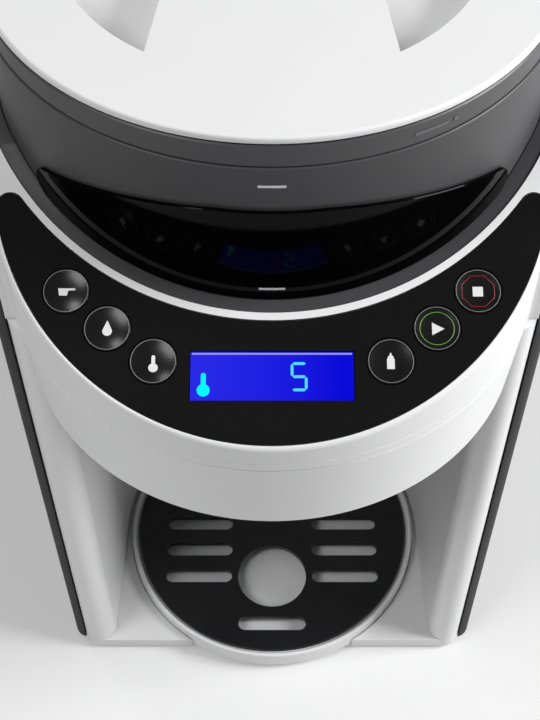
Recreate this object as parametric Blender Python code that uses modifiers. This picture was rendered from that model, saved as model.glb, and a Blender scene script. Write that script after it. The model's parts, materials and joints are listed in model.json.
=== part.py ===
"""Countertop formula maker: powder container on top, bottle bay below, water tank at the back.

Metres, +Z up. The front faces -Y, and the origin is under the middle of the part's box.
"""
import math

import bmesh
import bpy
from mathutils import Matrix, Vector

# Overall sizes
HEIGHT = 0.372
HALF_WIDTH = 0.097
DEPTH = 0.3345
HEAD_TUCK = 0.0125
HEAD_RADIUS = HALF_WIDTH - HEAD_TUCK
HEAD_REACH = 0.046
SLOPE = math.radians(20.0)

# Shared walls and clearances
WALL = 0.0025
ROOF = 0.0045
GAP = 0.0003
OVERRUN = 0.004
EDGE = 0.0008

# Levels of the main storeys
FOOT_HEIGHT = 0.004
BASE_LOW_Z = 0.0025
BASE_TOP_Z = 0.009
DECK_DROP = 0.044
HEAD_TALL = 0.045
SKIRT_TALL = 0.031
WELL_DROP = 0.004
PANEL_DROP = 0.0324
DECK_Z = HEIGHT - DECK_DROP
SEAM_Z = DECK_Z - HEAD_TALL
BAY_TOP_Z = SEAM_Z - SKIRT_TALL
PANEL_FRONT_Z = DECK_Z - PANEL_DROP
WELL_FLOOR_Z = SEAM_Z - WELL_DROP
WELL_FLOOR_THICK = 0.003

# Places along the depth
FRONT_Y = -DEPTH / 2
REAR_Y = DEPTH / 2
HEAD_Y = FRONT_Y + HEAD_RADIUS
AXIS_Y = HEAD_Y + HEAD_REACH
BAY_BACK = 0.008
BAY_Y = AXIS_Y + BAY_BACK
TANK_DEPTH = 0.0555
REAR_PANEL_Y = REAR_Y - TANK_DEPTH

# Shoulders, where the round head flares out to the body's full width
SHOULDER_LEAD = 0.048
SHOULDER_RADIUS = 0.007
FLARE_RADIUS = 0.0055
SHOULDER_X = HALF_WIDTH - SHOULDER_RADIUS
SHOULDER_Y = AXIS_Y - SHOULDER_LEAD + SHOULDER_RADIUS
FLARE_Y = AXIS_Y - SHOULDER_LEAD - FLARE_RADIUS

# Bottle bay and its pillars
NOSE_INSET = 0.013
BAY_INSET = 0.010
NOSE_X = HALF_WIDTH - NOSE_INSET
BAY_RADIUS = NOSE_X - BAY_INSET
NOSE_LEAD = 0.045
NOSE_RADIUS = 0.0075
NOSE_FLANK = 0.019

# Well, container and lid
RING_INSET = 0.0024
RING_LAND = 0.0024
FLANGE_WIDE = 0.0052
COLLAR_INSET = 0.0004
COLLAR_DROP = 0.010
COLLAR_TOP_DROP = 0.0027
RING_RADIUS = HALF_WIDTH - RING_INSET
WELL_RADIUS = RING_RADIUS - RING_LAND
CONTAINER_RADIUS = WELL_RADIUS - FLANGE_WIDE
COLLAR_RADIUS = CONTAINER_RADIUS - COLLAR_INSET
COLLAR_Z = HEIGHT - COLLAR_DROP
COLLAR_TOP_Z = HEIGHT - COLLAR_TOP_DROP
WINDOW_THICK = 0.001
WINDOW_DROP = 0.0255
WINDOW_TOP_Z = HEIGHT - WINDOW_DROP
WINDOW_FALL = math.radians(24.5)
FLANGE_DROP = 0.0006
HOPPER_FLOOR = 0.003
HOPPER_STEP = 0.0063
HOPPER_RISE = 0.0124
LID_EDGE = 0.0022
LID_INSET = 0.0009
LID_RADIUS = COLLAR_RADIUS - LID_INSET
LID_TOP = 0.0025
LID_DEPTH = 0.014
LID_NECK_GAP = 0.0008
GRIP_DEPTH = 0.0115
GRIP_INSET = 0.0227
GRIP_RADIUS = LID_RADIUS - GRIP_INSET
GRIP_TIP = 0.0345
GRIP_WAIST = 0.0275
LINER_THICK = 0.003
GASKET_THICK = 0.0016

# Head skirt
SKIRT_STEP = 0.0011
SKIRT_TAPER = 0.0011

# Powder drive
OUTLET_RADIUS = 0.009
OUTLET_REACH = 0.030
CHUTE_WALL = 0.002
WHEEL_RADIUS = 0.044
WHEEL_THICK = 0.006
POCKET_RADIUS = 0.008
POCKETS = 5
HEX_RADIUS = 0.006
HUB_RADIUS = 0.0079
HUB_CLEAR = 0.0091
STIRRER_REACH = 0.070
STIRRER_HUB = 0.012
STIRRER_HUB_TALL = 0.0165
STIRRER_ARMS = 3
ARM_WIDTH = 0.007
ARM_TALL = 0.004
MODULE = 0.002
PRESSURE = math.radians(20.0)
ADDENDUM_SHARE = 0.8
DEDENDUM_SHARE = 1.25
BACKLASH = 0.0005
WHEEL_TEETH = 17
IDLER_TEETH = 39
PINION_TEETH = 10
GEAR_THICK = 0.008
GEAR_LIFT = 0.004
SPIGOT_RADIUS = 0.004
PIN_RADIUS = 0.003
SHAFT_RADIUS = 0.0025
SHAFT_DEPTH = 0.006
MOTOR_RADIUS = 0.018
MOTOR_TALL = 0.052

# Control panel
PANEL_MARGIN = 0.0015
PANEL_RADIUS = HEAD_RADIUS - PANEL_MARGIN
PANEL_TIP = 0.004
PANEL_THICK = 0.0018
PANEL_LEDGE = 0.002
BUTTON_RADIUS = 0.00685
BUTTON_RIM = 0.00075
BUTTON_PROUD = 0.0003
BUTTON_DISH = 0.0006
BUTTON_TRAVEL = 0.001
BUTTON_STEM = 0.002
BOARD_THICK = 0.0016
BOARD_DROP = 0.0054
BOARD_INSET = 0.003
DISPLAY_WIDE = 0.0465
DISPLAY_DEEP = 0.0142
DISPLAY_AHEAD = 0.1099
DISPLAY_THICK = 0.0015
MODULE_WIDE = 0.0515
MODULE_DEEP = 0.0185
MODULE_THICK = 0.0028
BUTTON_SHARES = {
    "button_powder": (-0.70651, -1.01657),
    "button_water": (-0.56095, -1.14320),
    "button_temperature": (-0.40118, -1.25325),
    "button_volume": (0.40118, -1.25325),
    "button_start": (0.56095, -1.14320),
    "button_stop": (0.70651, -1.01657),
}

# Mixing funnel under the head
FUNNEL_RADIUS = 0.050
FUNNEL_WALL = 0.0018
FUNNEL_FLANGE = 0.0025
FUNNEL_HALF = 0.056
FUNNEL_BACK = 0.042
FUNNEL_CLEAR = 0.0045
FUNNEL_RIM = 0.004
FUNNEL_CONE = 0.022
NOZZLE_RADIUS = 0.006
NOZZLE_LONG = 0.014
TAB_WIDE = 0.030
TAB_LONG = 0.014
RAIL_WALL = 0.0025
RAIL_LIP = 0.0064
RAIL_SIDE = 0.0009
COVER_THICK = 0.0025
WATER_X = 0.026
WATER_LEAD = 0.024
WATER_RADIUS = 0.003

# Drip tray
TRAY_TOP_Z = 0.0146
TRAY_INSET = 0.0025
TRAY_RADIUS = BAY_RADIUS - TRAY_INSET
TRAY_WALL = 0.0018
TRAY_FLOOR = 0.0015
TRAY_SEAT_Z = 0.004
COVER_INSET = 0.0038
COVER_RADIUS = TRAY_RADIUS - COVER_INSET
COVER_DROP = 0.0006
COVER_LEDGE = 0.002
LOBE_INSET = 0.001
LOBE_RADIUS = TRAY_RADIUS - LOBE_INSET
FINGER_RADIUS = 0.017
FINGER_LEAD = 0.028
SLOT_LONG = 0.033
SLOT_WIDE = 0.007
SLOT_OUT = 0.0365
SLOT_PITCH = 0.015
SLOT_ROW_SHARES = (0.0, 1.0, 2.0, 3.0, 4.0)

# Water tank and what is under it
TANK_WALL = 0.0022
TANK_CORNER = 0.030
TANK_SIDE_GAP = 0.0005
TANK_BASE_TOP_Z = 0.038
TANK_LID_THICK = 0.0057
EAR_X = 0.060
EAR_THICK = 0.004
EAR_DEEP = 0.0062
HINGE_BACK = 0.0032
HINGE_DROP = 0.0025
HINGE_RADIUS = 0.0015
LID_SETBACK = 0.0022
PORT_BACK = 0.0255
PORT_RADIUS = 0.005
PORT_BORE = 0.0025
PORT_FLANGE = 0.009
PORT_RISE = 0.007
GROMMET_WALL = 0.003
GROMMET_LIP = 0.0015

# Water works and electrics
PUMP_X = -0.045
PUMP_AHEAD = 0.0285
PUMP_HEAD = (0.040, 0.030, 0.024)
PUMP_MOTOR_RADIUS = 0.017
PUMP_MOTOR_TALL = 0.056
HEATER_X = 0.045
HEATER_AHEAD = 0.0315
HEATER_RADIUS = 0.026
HEATER_HEADROOM = 0.103
HEATER_TALL = BAY_TOP_Z - BASE_TOP_Z - HEATER_HEADROOM
HEATER_NECK = 0.008
HEATER_CAP = 0.012
HOSE_RADIUS = 0.0035
HOSE_LOW_Z = 0.020
HOSE_RISE = 0.013
HOSE_HIGH_Z = BAY_TOP_Z + HOSE_RISE
MAIN_BOARD = (0.120, 0.0016, 0.080)
MAIN_BOARD_DROP = 0.087
MAIN_BOARD_Z = BAY_TOP_Z - MAIN_BOARD_DROP
STANDOFF = 0.0045
STANDOFF_RADIUS = 0.003
STANDOFF_INSET = 0.008
INLET_X = -0.055
INLET_SIZE = (0.027, 0.018, 0.020)
INLET_WALL = 0.0025
FOOT_RADIUS = 0.009
FOOT_INSET = 0.018
FOOT_X = HALF_WIDTH - FOOT_INSET
FOOT_LEAD = 0.022
FOOT_REAR_INSET = 0.029
FOOT_REAR_X = HALF_WIDTH - FOOT_REAR_INSET
FOOT_REAR_IN = 0.027

# Fineness: how far a flat facet may lie inside a round face
FACET = 0.00017
LEAST_SIDES = 12

WHITE = (0.86, 0.86, 0.87)
SMOKE = (0.10, 0.10, 0.105)
GRAPHITE = (0.055, 0.055, 0.06)
BLACK = (0.012, 0.012, 0.013)
STEEL = (0.62, 0.62, 0.63)
RUBBER = (0.03, 0.03, 0.03)
SILICONE = (0.75, 0.76, 0.78)
BOARD_GREEN = (0.02, 0.16, 0.07)
SCREEN_BLUE = (0.01, 0.02, 0.80)


# Collections and materials

for old in list(bpy.data.objects):
    bpy.data.objects.remove(old, do_unlink=True)

PARTS = bpy.data.collections.new("formula_maker")
CUTTERS = bpy.data.collections.new("cutters")
for group in (PARTS, CUTTERS):
    bpy.context.scene.collection.children.link(group)


def finish(name, colour, roughness, metallic=0.0):
    """A plain material in the piece's colour."""
    material = bpy.data.materials.new(name)
    material.use_nodes = True
    shader = material.node_tree.nodes["Principled BSDF"]
    shader.inputs["Base Color"].default_value = (*colour, 1.0)
    shader.inputs["Roughness"].default_value = roughness
    shader.inputs["Metallic"].default_value = metallic
    return material


def part(name, obj, colour, roughness, metallic=0.0):
    """Names a finished piece, colours it and puts it in the object's collection."""
    obj.name = name
    obj.data.name = name
    obj.data.materials.clear()
    obj.data.materials.append(finish(name, colour, roughness, metallic))
    CUTTERS.objects.unlink(obj)
    PARTS.objects.link(obj)
    obj.hide_render = False
    obj.display_type = "TEXTURED"
    return obj


# Shapes

def place(name, data, location=(0, 0, 0)):
    """A new object that starts as a cutter."""
    obj = bpy.data.objects.new(name, data)
    obj.location = location
    obj.hide_render = True
    obj.display_type = "WIRE"
    CUTTERS.objects.link(obj)
    return obj


def shade(mesh):
    """Smooth shading that keeps the hard edges."""
    mesh.shade_smooth()
    mesh.set_sharp_from_angle(angle=math.radians(35.0))


def sides(radius):
    """How many flat sides a round face of this radius gets."""
    return max(LEAST_SIDES, math.ceil(math.pi / math.acos(1 - FACET / radius)))


def turned(name, profile, centre, closed=False):
    """A profile of radius and height pairs, turned about Z. It runs down its outer side."""
    steps = sides(max(radius for radius, height in profile))
    mesh = bpy.data.meshes.new(name)
    points = [(radius, 0, height) for radius, height in profile]
    edges = [(i, i + 1) for i in range(len(points) - 1)]
    if closed:
        edges.append((len(points) - 1, 0))
    mesh.from_pydata(points, edges, [])
    obj = place(name, mesh, (centre[0], centre[1], 0))
    screw = obj.modifiers.new("Turn", "SCREW")
    screw.axis = "Z"
    screw.angle = math.tau
    screw.steps = steps
    screw.render_steps = steps
    screw.use_merge_vertices = True
    screw.merge_threshold = 0
    screw.use_smooth_shade = False
    return obj


def cylinder(name, centre, radius, low, high):
    """An upright cylinder between two heights."""
    return turned(name, [(0, high), (radius, high), (radius, low), (0, low)], centre)


def rod(name, centre, radius, length, axis):
    """A round bar along X or Y about its centre."""
    mesh = bpy.data.meshes.new(name)
    shape = bmesh.new()
    bmesh.ops.create_cone(shape, cap_ends=True, segments=sides(radius), radius1=radius, radius2=radius,
                          depth=length)
    turn = Matrix.Rotation(math.pi / 2, 4, "Y" if axis == "X" else "X")
    bmesh.ops.transform(shape, matrix=turn, verts=shape.verts)
    shape.to_mesh(mesh)
    shape.free()
    shade(mesh)
    return place(name, mesh, centre)


def block(name, low, high, bevel=0.0):
    """A box between two corners, with rounded edges if bevel is given."""
    size = [b - a for a, b in zip(low, high)]
    mesh = bpy.data.meshes.new(name)
    shape = bmesh.new()
    bmesh.ops.create_cube(shape, size=1.0)
    bmesh.ops.scale(shape, vec=size, verts=shape.verts)
    shape.to_mesh(mesh)
    shape.free()
    obj = place(name, mesh, [(a + b) / 2 for a, b in zip(low, high)])
    if bevel:
        soften(obj, bevel)
    return obj


def plate(name, outlines, low, high, frame=None):
    """Flat outlines (the first one solid, the others holes) between two heights."""
    curve = bpy.data.curves.new(name, "CURVE")
    curve.dimensions = "2D"
    curve.fill_mode = "BOTH"
    curve.extrude = (high - low) / 2
    for outline in outlines:
        spline = curve.splines.new("POLY")
        spline.points.add(len(outline) - 1)
        for point, (x, y) in zip(spline.points, outline):
            point.co = (x, y, 0, 1)
        spline.use_cyclic_u = True
    guide = bpy.data.objects.new(name, curve)
    guide.matrix_world = (frame or Matrix()) @ Matrix.Translation((0, 0, (low + high) / 2))
    CUTTERS.objects.link(guide)
    bpy.context.view_layer.update()
    mesh = bpy.data.meshes.new_from_object(guide.evaluated_get(bpy.context.evaluated_depsgraph_get()))
    shape = bmesh.new()
    shape.from_mesh(mesh)
    bmesh.ops.remove_doubles(shape, verts=shape.verts, dist=0.000001)
    bmesh.ops.recalc_face_normals(shape, faces=shape.faces)
    shape.to_mesh(mesh)
    shape.free()
    shade(mesh)
    obj = place(name, mesh)
    obj.matrix_world = guide.matrix_world
    bpy.data.objects.remove(guide, do_unlink=True)
    return obj


def pivot(obj, point):
    """Puts an unturned object's origin on its joint's axis and leaves its shape where it is."""
    obj.data.transform(Matrix.Translation(obj.location - Vector(point)))
    obj.location = point
    return obj


def soften(obj, width, segments=2):
    """Rounds the hard edges."""
    bevel = obj.modifiers.new("Edges", "BEVEL")
    bevel.width = width
    bevel.segments = segments
    bevel.limit_method = "ANGLE"
    bevel.angle_limit = math.radians(40.0)
    return obj


def combine(obj, tool, operation):
    """Cuts, joins or keeps the shared part of an object and a tool."""
    boolean = obj.modifiers.new(operation.title(), "BOOLEAN")
    boolean.operation = operation
    boolean.solver = "EXACT"
    boolean.object = tool
    return obj


def cut(obj, *tools):
    """Takes tools out of an object."""
    for tool in tools:
        combine(obj, tool, "DIFFERENCE")
    return obj


def join(obj, *tools):
    """Adds tools to an object."""
    for tool in tools:
        combine(obj, tool, "UNION")
    return obj


def arc(centre, radius, start, end):
    """Points along an arc."""
    count = max(2, round(abs(end - start) / math.tau * sides(radius)))
    angles = [start + (end - start) * i / count for i in range(count + 1)]
    return [(centre[0] + radius * math.cos(a), centre[1] + radius * math.sin(a)) for a in angles]


def circle(centre, radius, count=None):
    """A full round outline, or a regular one with a set count of corners."""
    count = count or sides(radius)
    angles = [math.tau * i / count for i in range(count)]
    return [(centre[0] + radius * math.cos(a), centre[1] + radius * math.sin(a)) for a in angles]


def rectangle(centre, wide, deep):
    """A square-cornered outline about its centre."""
    x, y = centre
    return [(x - wide / 2, y - deep / 2), (x + wide / 2, y - deep / 2),
            (x + wide / 2, y + deep / 2), (x - wide / 2, y + deep / 2)]


def slot(centre, long, wide):
    """An outline with round ends, along X."""
    x, y = centre
    reach = (long - wide) / 2
    right = arc((x + reach, y), wide / 2, -math.pi / 2, math.pi / 2)
    left = arc((x - reach, y), wide / 2, math.pi / 2, 3 * math.pi / 2)
    return right + left


def mirrored(right):
    """Closes a right-hand outline with its mirror image."""
    left = [(-x, y) for x, y in reversed(right) if abs(x) > GAP]
    return right + left


# Outlines that several pieces follow

def slope_z(y):
    """Height of the control panel's plane at a place along the depth."""
    return PANEL_FRONT_Z + (y - FRONT_Y) * math.tan(SLOPE)


def flare_place():
    """Centre of the hollow curve between the head and the shoulder, and its angle from the head."""
    down = FLARE_Y - HEAD_Y
    across = math.sqrt((HEAD_RADIUS + FLARE_RADIUS) ** 2 - down ** 2)
    return (across, FLARE_Y), math.atan2(down, across)


def body_outline(inset, rear_y, corner):
    """Plan of the head: round bulge in front, flared shoulders, straight sides."""
    flare, turn = flare_place()
    side = HALF_WIDTH - inset
    right = arc((0, HEAD_Y), HEAD_RADIUS - inset, -math.pi / 2, turn)
    right += arc(flare, FLARE_RADIUS + inset, math.pi + turn, math.pi / 2)[1:]
    right += arc((SHOULDER_X, SHOULDER_Y), SHOULDER_RADIUS - inset, -math.pi / 2, 0)[1:]
    right += arc((side - corner, rear_y - corner), corner, 0, math.pi / 2)
    return mirrored(right)


def tank_outline(inset):
    """Plan of the tank: flat against the rear panel, with large rear corners."""
    half = HALF_WIDTH - TANK_SIDE_GAP - inset
    corner = TANK_CORNER - inset
    front = REAR_PANEL_Y + GAP + inset
    right = [(half, front)] + arc((half - corner, REAR_Y - inset - corner), corner, 0, math.pi / 2)
    return mirrored(right)


def roof_tool(name, drop):
    """Everything above the sloped panel and the level deck, lowered by drop."""
    knee_y = FRONT_Y + (DECK_Z - PANEL_FRONT_Z) / math.tan(SLOPE)
    front = FRONT_Y - OVERRUN
    rear = REAR_Y + OVERRUN
    side = [(front, slope_z(front) - drop), (knee_y, DECK_Z - drop), (rear, DECK_Z - drop),
            (rear, HEIGHT + OVERRUN), (front, HEIGHT + OVERRUN)]
    across = Matrix.Rotation(math.pi / 2, 4, "Z") @ Matrix.Rotation(math.pi / 2, 4, "X")
    reach = HALF_WIDTH + OVERRUN
    return plate(name, [side], -reach, reach, across)


def involute(angle):
    """The involute of an angle."""
    return math.tan(angle) - angle


def gear_outline(teeth, phase):
    """Teeth with straight flanks that end on the involute of their pitch circle."""
    pitch = MODULE * teeth / 2
    base = pitch * math.cos(PRESSURE)
    half = math.pi / (2 * teeth) - BACKLASH / (2 * pitch) + involute(PRESSURE)
    outline = []
    for tooth in range(teeth):
        middle = phase + math.tau * tooth / teeth
        for radius, side in ((pitch - DEDENDUM_SHARE * MODULE, -1), (pitch + ADDENDUM_SHARE * MODULE, -1),
                             (pitch + ADDENDUM_SHARE * MODULE, 1), (pitch - DEDENDUM_SHARE * MODULE, 1)):
            lean = half - involute(math.acos(min(1.0, base / radius)))
            angle = middle + side * lean
            outline.append((radius * math.cos(angle), radius * math.sin(angle)))
    return outline


def moved(outline, centre):
    """An outline carried to another centre."""
    return [(x + centre[0], y + centre[1]) for x, y in outline]


def smooth_route(points, per_span=4):
    """A soft curve through a hose's points."""
    route = [Vector(p) for p in points]
    padded = [2 * route[0] - route[1]] + route + [2 * route[-1] - route[-2]]
    places = []
    for a, b, c, d in zip(padded, padded[1:], padded[2:], padded[3:]):
        for step in range(per_span):
            t = step / per_span
            places.append(0.5 * (2 * b + (c - a) * t + (2 * a - 5 * b + 4 * c - d) * t ** 2
                                 + (3 * b - a - 3 * c + d) * t ** 3))
    return places + [route[-1]]


def hose(name, points, radius):
    """A round hose through its points."""
    curve = bpy.data.curves.new(name, "CURVE")
    curve.dimensions = "3D"
    curve.bevel_depth = radius
    curve.bevel_resolution = 2
    curve.use_fill_caps = True
    places = smooth_route(points)
    spline = curve.splines.new("POLY")
    spline.points.add(len(places) - 1)
    for point, place_at in zip(spline.points, places):
        point.co = (*place_at, 1)
    return part(name, place(name, curve), SILICONE, 0.45)


# Base, feet and drip tray

def bay_tangent(thickness):
    """Where the bay's round wall runs straight on to the pillar's nose, and at what angle."""
    dx = NOSE_X
    dy = -NOSE_LEAD - BAY_BACK
    turn = math.acos((BAY_RADIUS + NOSE_RADIUS) / math.hypot(dx, dy))
    angle = math.atan2(dy, dx) + turn
    bay = BAY_RADIUS + thickness
    nose = NOSE_RADIUS - thickness
    return angle, bay, nose


def bay_path(thickness):
    """Right half of the bay wall's plan, from the middle of its back to the pillar's flank."""
    angle, bay, nose = bay_tangent(thickness)
    nose_centre = (NOSE_X, AXIS_Y - NOSE_LEAD)
    path = arc((0, BAY_Y), bay, math.pi / 2, angle)
    path += arc(nose_centre, nose, angle + math.pi, math.tau)
    path.append((NOSE_X + nose, nose_centre[1] + NOSE_FLANK))
    return path


def build_base():
    """Base plate with the tray's round seat and the sockets of its feet."""
    inset = WALL + GAP
    side = HALF_WIDTH - inset
    nose_centre = (NOSE_X, AXIS_Y - NOSE_LEAD)
    tip_y = nose_centre[1] - NOSE_RADIUS
    shoulder = SHOULDER_RADIUS - inset
    right = arc((0, BAY_Y), LOBE_RADIUS, -math.pi / 2, math.asin((tip_y - BAY_Y) / LOBE_RADIUS))
    right += arc(nose_centre, NOSE_RADIUS, 1.45 * math.pi, math.tau)
    start = -math.acos((NOSE_X + NOSE_RADIUS - SHOULDER_X) / shoulder)
    right += arc((SHOULDER_X, SHOULDER_Y), shoulder, start, 0)[1:]
    corner = TANK_CORNER - inset
    right += arc((side - corner, REAR_Y - inset - corner), corner, 0, math.pi / 2)
    base = plate("base_plate", [mirrored(right)], BASE_LOW_Z, BASE_TOP_Z)
    cut(base, cylinder("tray_seat", (0, BAY_Y), TRAY_RADIUS + GAP, TRAY_SEAT_Z, BASE_TOP_Z + OVERRUN))
    for name, x, y in foot_places():
        seat = cylinder("seat_" + name, (x, y), FOOT_RADIUS + GAP, -OVERRUN, FOOT_HEIGHT + GAP)
        cut(base, seat)
    part("base_plate", base, WHITE, 0.45)


def foot_places():
    """The four feet, two beside the bay and two under the tank."""
    front_y = AXIS_Y - FOOT_LEAD
    rear_y = REAR_Y - FOOT_REAR_IN
    return (("foot_front_left", -FOOT_X, front_y), ("foot_front_right", FOOT_X, front_y),
            ("foot_rear_left", -FOOT_REAR_X, rear_y), ("foot_rear_right", FOOT_REAR_X, rear_y))


def build_feet():
    """Rubber feet with a rounded lower edge."""
    profile = [(0, FOOT_HEIGHT), (FOOT_RADIUS, FOOT_HEIGHT), (FOOT_RADIUS, EDGE), (FOOT_RADIUS - EDGE, 0),
               (0, 0)]
    for name, x, y in foot_places():
        part(name, turned(name, profile, (x, y)), RUBBER, 0.8)


def build_tray():
    """Round drip cup and its slotted cover."""
    low = TRAY_SEAT_Z + GAP
    inner = TRAY_RADIUS - TRAY_WALL
    cover_top = TRAY_TOP_Z - COVER_DROP
    ledge = cover_top - COVER_THICK - GAP
    seat = COVER_RADIUS - COVER_LEDGE
    profile = [(0, low + TRAY_FLOOR), (seat, low + TRAY_FLOOR), (seat, ledge), (COVER_RADIUS + GAP, ledge),
               (inner, TRAY_TOP_Z), (TRAY_RADIUS - EDGE, TRAY_TOP_Z), (TRAY_RADIUS, TRAY_TOP_Z - EDGE),
               (TRAY_RADIUS, low + EDGE), (TRAY_RADIUS - EDGE, low), (0, low)]
    part("drip_cup", turned("drip_cup", profile, (0, BAY_Y)), WHITE, 0.35)

    finger_y = BAY_Y - FINGER_LEAD
    holes = [circle((0, finger_y), FINGER_RADIUS)]
    for row_share in SLOT_ROW_SHARES:
        row_y = finger_y + row_share * SLOT_PITCH
        holes += [slot((side * SLOT_OUT, row_y), SLOT_LONG, SLOT_WIDE) for side in (-1, 1)]
    holes.append(slot((0, finger_y - FINGER_RADIUS - SLOT_WIDE - COVER_LEDGE), SLOT_LONG, SLOT_WIDE))
    rim = circle((0, BAY_Y), COVER_RADIUS)
    cover = plate("drip_cover", [rim] + holes, cover_top - COVER_THICK, cover_top)
    part("drip_cover", cover, BLACK, 0.3)


# Body walls

def build_bay_wall():
    """One wall that forms the bottle bay's round back and the two front pillars."""
    visible = [p for p in bay_path(0) if p[0] > GAP]
    hidden = [p for p in bay_path(WALL) if p[0] > GAP]
    right = [(0, BAY_Y + BAY_RADIUS)] + visible + list(reversed(hidden)) + [(0, BAY_Y + BAY_RADIUS + WALL)]
    left = [(-x, y) for x, y in reversed(right) if x > GAP]
    wall = plate("bay_wall", [right + left], BASE_TOP_Z + GAP, BAY_TOP_Z)
    for side, word in ((-1, "left"), (1, "right")):
        nose = (side * NOSE_X, AXIS_Y - NOSE_LEAD)
        join(wall, cylinder("nose_cap_" + word, nose, NOSE_RADIUS - WALL / 2, BAY_TOP_Z - WALL, BAY_TOP_Z))
    part("bay_wall", wall, WHITE, 0.35)


def build_side_panels():
    """Dark side panels that turn in to the pillars at their front corners."""
    inner = HALF_WIDTH - WALL
    centre = (SHOULDER_X, SHOULDER_Y)
    reach = NOSE_X + NOSE_RADIUS + GAP - SHOULDER_X
    hidden = SHOULDER_RADIUS - WALL
    right = arc(centre, SHOULDER_RADIUS, -math.acos(reach / SHOULDER_RADIUS), 0)
    right += [(HALF_WIDTH, REAR_PANEL_Y), (inner, REAR_PANEL_Y)]
    right += arc(centre, hidden, 0, -math.acos(reach / hidden))
    for name, side in (("side_panel_left", -1), ("side_panel_right", 1)):
        outline = [(side * x, y) for x, y in right]
        part(name, plate(name, [outline], BASE_LOW_Z + GAP, SEAM_Z - GAP), GRAPHITE, 0.35)


def build_rear_panel():
    """Wall between the works and the tank, with the stand-offs of the main board."""
    half = HALF_WIDTH - WALL - GAP
    low = BASE_TOP_Z + GAP
    front = REAR_PANEL_Y - WALL
    panel = block("rear_panel", (-half, front, low), (half, REAR_PANEL_Y, SEAM_Z - GAP))
    wide, thick, tall = MAIN_BOARD
    reach = STANDOFF + WALL / 2
    for side in (-1, 1):
        for height in (MAIN_BOARD_Z + STANDOFF_INSET, MAIN_BOARD_Z + tall - STANDOFF_INSET):
            place_at = (side * (wide / 2 - STANDOFF_INSET), front + WALL / 2 - reach / 2, height)
            join(panel, rod("standoff", place_at, STANDOFF_RADIUS, reach, "Y"))
    hole = (PUMP_X, REAR_PANEL_Y, HOSE_LOW_Z)
    cut(panel, rod("hose_hole", hole, HOSE_RADIUS + WALL, WALL + TANK_DEPTH / 2, "Y"))
    part("rear_panel", panel, GRAPHITE, 0.4)


def build_tank_base():
    """Open-bottomed box under the tank, with the port's and the inlet's holes."""
    low = BASE_TOP_Z + GAP
    base = plate("tank_base", [tank_outline(0)], low, TANK_BASE_TOP_Z)
    cut(base, plate("tank_base_inside", [tank_outline(WALL)], low - OVERRUN, TANK_BASE_TOP_Z - WALL))
    port_y = REAR_PANEL_Y + PORT_BACK
    cut(base, cylinder("port_hole", (0, port_y), PORT_RADIUS + GAP, low, HEIGHT))
    cut(base, rod("hose_hole_base", (PUMP_X, REAR_PANEL_Y, HOSE_LOW_Z), HOSE_RADIUS + WALL, PORT_RADIUS * 2,
                  "Y"))
    wide, deep, tall = INLET_SIZE
    middle = (low + TANK_BASE_TOP_Z - WALL) / 2
    opening = block("inlet_hole", (INLET_X - wide / 2 - GAP, REAR_Y - deep, middle - tall / 2 - GAP),
                    (INLET_X + wide / 2 + GAP, REAR_Y + OVERRUN, middle + tall / 2 + GAP))
    cut(base, opening)
    part("tank_base", base, GRAPHITE, 0.4)

    inlet = block("power_inlet", (INLET_X - wide / 2, REAR_Y - deep, middle - tall / 2),
                  (INLET_X + wide / 2, REAR_Y - GAP, middle + tall / 2))
    socket = block("inlet_socket",
                   (INLET_X - wide / 2 + INLET_WALL, REAR_Y - deep + INLET_WALL,
                    middle - tall / 2 + INLET_WALL),
                   (INLET_X + wide / 2 - INLET_WALL, REAR_Y + OVERRUN, middle + tall / 2 - INLET_WALL))
    cut(inlet, socket)
    part("power_inlet", inlet, BLACK, 0.5)


# Head

def build_head_skirt():
    """Front wall of the head, slightly narrower at its foot, with ears that reach the side panels."""
    top = SEAM_Z - GAP
    outer = HEAD_RADIUS - SKIRT_STEP
    foot = outer - SKIRT_TAPER
    profile = [(outer, top), (foot, BAY_TOP_Z + GAP), (foot - WALL, BAY_TOP_Z + GAP), (outer - WALL, top)]
    skirt = turned("head_skirt", profile, (0, HEAD_Y), closed=True)
    flare = flare_place()[0]
    low_z = BAY_TOP_Z + GAP
    back = block("skirt_back", (-HALF_WIDTH, FLARE_Y + WALL / 2, low_z - OVERRUN),
                 (HALF_WIDTH, REAR_Y, top + OVERRUN))
    cut(skirt, back)
    shown = FLARE_RADIUS + SKIRT_STEP
    hidden = shown + WALL
    end_x = NOSE_X + NOSE_RADIUS
    right = arc(flare, shown, math.pi, math.pi / 2) + [(end_x, FLARE_Y + shown)]
    right += [(end_x, FLARE_Y + hidden)] + arc(flare, hidden, math.pi / 2, math.pi)
    for side, word in ((-1, "left"), (1, "right")):
        outline = [(side * x, y) for x, y in right]
        join(skirt, plate("skirt_ear_" + word, [outline], low_z, top))
    under = WELL_FLOOR_Z - WELL_FLOOR_THICK - GAP
    cut(skirt, cylinder("skirt_relief", (0, AXIS_Y), RING_RADIUS + GAP, under, SEAM_Z + OVERRUN))
    part("head_skirt", skirt, WHITE, 0.35)


def chute_place():
    """Where the powder drops, ahead of the container's axis."""
    return (0, AXIS_Y - OUTLET_REACH)


def gear_centres():
    """Centres of the wheel's gear, the idler and the motor pinion, one behind the other."""
    idler_y = AXIS_Y + MODULE * (WHEEL_TEETH + IDLER_TEETH) / 2
    pinion_y = idler_y + MODULE * (IDLER_TEETH + PINION_TEETH) / 2
    return (0, AXIS_Y), (0, idler_y), (0, pinion_y)


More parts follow.
